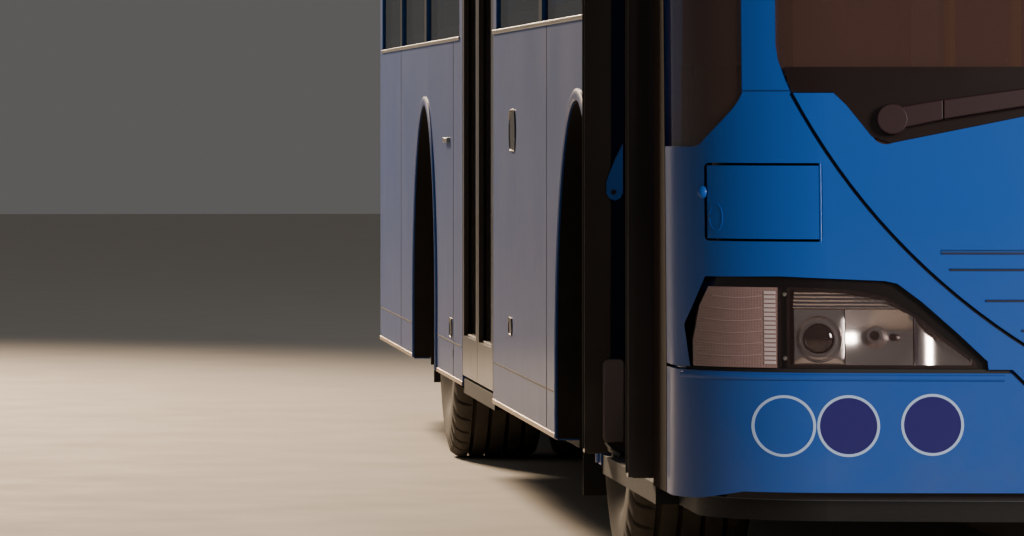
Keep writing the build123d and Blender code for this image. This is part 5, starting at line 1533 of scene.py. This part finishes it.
@dataclass
class Tail(Dressing):
    """The rear lamps, the blank plate and what sits on the tail and the roof."""

    lamp_y: float = 1.035
    lenses: tuple[tuple[float, str, str, str], ...] = (
        (1.155, "amber", "amber_lens", "lamp_clear"), (0.985, "red", "red_lens", "lamp_red"),
        (0.735, "clear", "ladder_lens", "lamp_clear"),
    )

    def on(self, node: str, y: float, z: float, proud: float) -> Vector:
        """Return the point behind a rear CAD piece's outer face at a width and height."""
        solid = self.frame["nodes"][node]
        inverse = solid.matrix_world.inverted()
        start = inverse @ Vector((-7.0, y, z))
        found, place, _, _ = solid.ray_cast(start, (inverse @ Vector((-6.0, y, z))) - start)
        if not found:
            raise ValueError(f"{node} isn't behind y {y}, z {z}")
        return (solid.matrix_world @ place) + Vector((-proud, 0, 0))

    def button(
        self, piece: Piece, node: str, y: float, z: float, profile: Sequence[Pair], steps: int = 40
    ) -> None:
        """Add a round boss on the tail from (radius, proud) points."""
        piece.rings(
            [self.on(node, y + c, z + s, proud) for c, s in circle(steps, radius)]
            for radius, proud in profile
        )

    def dress(self) -> None:
        """Add the lenses, the plate, the lid's latches and mesh, and the roof's small pieces."""
        bpy.context.view_layer.update()
        bezels = self.piece("tail_lamp_bezels", "reflector_rim", "black_plastic")
        bezel = [(0.051, -0.002), (0.051, 0.006), (0.056, 0.006), (0.059, 0.001), (0.059, -0.002),
                 (0.051, -0.002)]
        swell = [math.pi * i / 16 for i in range(9)]
        lens_face = [(0.0, -0.002), (0.0505, -0.002)]
        lens_face += [(0.0505 * math.cos(a), 0.004 + 0.010 * math.sin(a)) for a in swell]
        for z, name, finish, slot in self.lenses:
            lens = self.piece(f"tail_lenses_{name}", finish, slot)
            for side in (-1, 1):
                self.button(lens, "tail_lamps", side * self.lamp_y, z, lens_face)
                self.button(bezels, "tail_lamps", side * self.lamp_y, z, bezel)
            lens.done(smooth=60)
        bezels.done()
        plate = self.piece("blank_rear_plate", "plate_white", "body_paint")
        plate.grid(*(
            [
                [self.on("rear_bumper", y, z, proud) for y in (0.32, 0.45, 0.58, 0.71, 0.84)]
                for z in (0.40, 0.51)
            ]
            for proud in (0.002, 0.0002)
        ))
        plate.done(bevel=0.0006)
        latches = self.piece("engine_lid_latches", "zinc_nut", "black_plastic", "engine_lid")
        latch = [(0.0, -0.002), (0.022, -0.002), (0.022, 0.003), (0.018, 0.005), (0.012, 0.005),
                 (0.010, 0.0025),
                 (0.0, 0.0025)]
        for side in (-1, 1):
            self.button(latches, "engine_lid", side * 0.72, 0.68, latch, 32)
        latches.done()
        mesh = self.piece("engine_lid_mesh", "chassis", "black_plastic", "engine_lid")
        for z in (0.729 + row * 0.062 for row in range(7)):
            for y in (-0.555 + column * 0.03 for column in range(38)):
                mesh.box((-5.943, y - 0.002, z - 0.014), (-5.941, y + 0.002, z + 0.014))
        mesh.done()
        self.roof()

    def roof(self) -> None:
        """Replace the plain roof unit by a cased one with fans, and add hatches and joints."""
        case = self.piece("roof_unit_case", "roof_enamel", "roof_paint")
        outline = [(-0.90, 2.881), (-0.828, 3.012), (-0.80, 3.026), (1.27, 3.026), (1.31, 3.012),
                   (1.48, 2.881)]
        case.prism(outline, upright(), (-0.82, 0.82))
        case.done(bevel=0.012, hides=("roof_unit",))
        fans = self.piece("roof_unit_fans", "black_plastic", "black_plastic")
        for origin in (Vector((x, y, 3.025)) for x in (-0.35, 0.29, 0.93) for y in (-0.38, 0.38)):
            for radius in (0.24, 0.19, 0.14, 0.09):
                hoop = [(0.0, radius), (0.010, radius), (0.010, radius - 0.008), (0.0, radius - 0.008)]
                fans.turned(hoop, origin, UP, 48, closed=True)
            fans.turned([(0.0, 0.0), (0.0, 0.05), (0.011, 0.046), (0.013, 0.0)], origin, UP, 32)
            for c, s in circle(8):
                way = Vector((c, s, 0))
                fans.tube([origin + way * far + UP * 0.006 for far in (0.045, 0.236)], 0.003, 6)
        for side in (-1, 1):
            for z in (2.915 + row * 0.019 for row in range(5)):
                fans.slab(side, (-0.62, 1.15), (z, z + 0.008), 0.003, wall_y=0.82)
        fans.done()
        hatches = self.piece("roof_hatches", "roof_enamel", "roof_paint")
        seals = self.piece("roof_joints", "seal", "black_plastic")
        for x in (3.1, -3.0):
            for piece, half, low, high in (
                (hatches, 0.36, 2.8795, 2.899), (hatches, 0.33, 2.899, 2.914), (seals, 0.375, 2.8795, 2.884),
            ):
                piece.box((x - half, -half, low), (x + half, half, high))
        for x in (4.55, 2.2, -1.35, -4.1):
            seals.box((x - 0.006, -1.04, 2.8795), (x + 0.006, 1.04, 2.8812))
        hatches.done(bevel=0.006)
        seals.done(bevel=0.0005)


@dataclass
class Studio:
    """The camera at the photograph's viewing angle, a pale floor and soft lights."""

    camera_at: Triple = (19.675, -2.565, 1.017)
    yaw: float = 3.99
    pitch: float = 1.15
    focal_px: float = 7400.0
    frame_px: float = 1024.0
    sensor_mm: float = 36.0
    floor_reach: float = 60.0

    def add(
        self, name: str, data: bpy.types.ID, place: Triple, way: Vector | None = None
    ) -> bpy.types.Object:
        """Put a new object in the scene, and turn a camera or a light to look along a way."""
        made = bpy.data.objects.new(name, data)
        made.location = place
        if way:
            made.rotation_euler = way.to_track_quat("-Z", "Y").to_euler()
        bpy.context.scene.collection.objects.link(made)
        return made

    def camera(self) -> None:
        """Place the camera in front of the bus, low and beside its right flank."""
        data = bpy.data.cameras.new("photo_camera")
        data.sensor_width = self.sensor_mm
        data.lens = self.focal_px / self.frame_px * self.sensor_mm
        data.clip_end = 200.0
        yaw, pitch = math.radians(self.yaw), math.radians(self.pitch)
        way = Vector((-math.cos(yaw) * math.cos(pitch), math.sin(yaw) * math.cos(pitch), -math.sin(pitch)))
        bpy.context.scene.camera = self.add("photo_camera", data, self.camera_at, way)

    def lamp(
        self, name: str, place: Triple, target: Triple, size: float, power: float, colour: str,
        spread: float = 180.0,
    ) -> None:
        """Add one soft square light aimed at a point, narrowed to its spread in degrees."""
        data = bpy.data.lights.new(name, "AREA")
        data.size = size
        data.energy = power
        data.spread = math.radians(spread)
        data.color = linear(colour)[:3]
        self.add(name, data, place, Vector(target) - Vector(place))

    def floor(self) -> None:
        """Lay a pale matt floor with a faint trowelled grain."""
        shape = bmesh.new()
        ways = ((-1, -1), (1, -1), (1, 1), (-1, 1))
        shape.faces.new([shape.verts.new((x * self.floor_reach, y * self.floor_reach, 0.0)) for x, y in ways])
        data = bpy.data.meshes.new("studio_floor")
        shape.to_mesh(data)
        shape.free()
        screed = Finish("trowelled_pale_screed", "#cfc8be", "#c4bdb3", 0.9, grain_mm=(40, 0.4))
        data.materials.append(screed.build())
        self.add("studio_floor", data, (0.0, 0.0, 0.0))

    def world(self) -> None:
        """Fill the shadows with an even warm-grey sky."""
        world = bpy.data.worlds.new("studio_sky")
        world.use_nodes = True
        background = world.node_tree.nodes["Background"]
        background.inputs["Color"].default_value = linear("#d9d6d2")
        background.inputs["Strength"].default_value = 0.16
        bpy.context.scene.world = world

    def build(self) -> None:
        """Make the camera, floor, sky and lights."""
        self.camera()
        self.floor()
        self.world()
        self.lamp("front_softbox", (17.5, 6.0, 4.0), (5.9, -0.2, 1.6), 4.0, 215.0, "#fff4ea", 50.0)
        self.lamp("flank_softbox", (-22.0, -5.5, 8.0), (-2.0, -4.6, 0.0), 3.0, 900.0, "#ffe0bc", 45.0)
        self.lamp("left_softbox", (0.0, 14.0, 9.0), (0.0, 1.3, 1.0), 9.0, 700.0, "#f4f6ff")


def main() -> None:
    """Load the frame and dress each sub-assembly."""
    logging.basicConfig(level=logging.INFO, format="%(name)s: %(message)s")
    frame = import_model()
    Studio().build()
    palette = Palette()
    for finish, nodes in PAINTED.items():
        Dressing(frame, palette).paint(finish, *nodes.split())
    for part in (Shell, FrontEnd, Doors, Wheels, Cabin, Tail):
        part(frame, palette).dress()
        LOG.info("dressed %s", part.__name__)


if __name__ == "__main__":
    main()
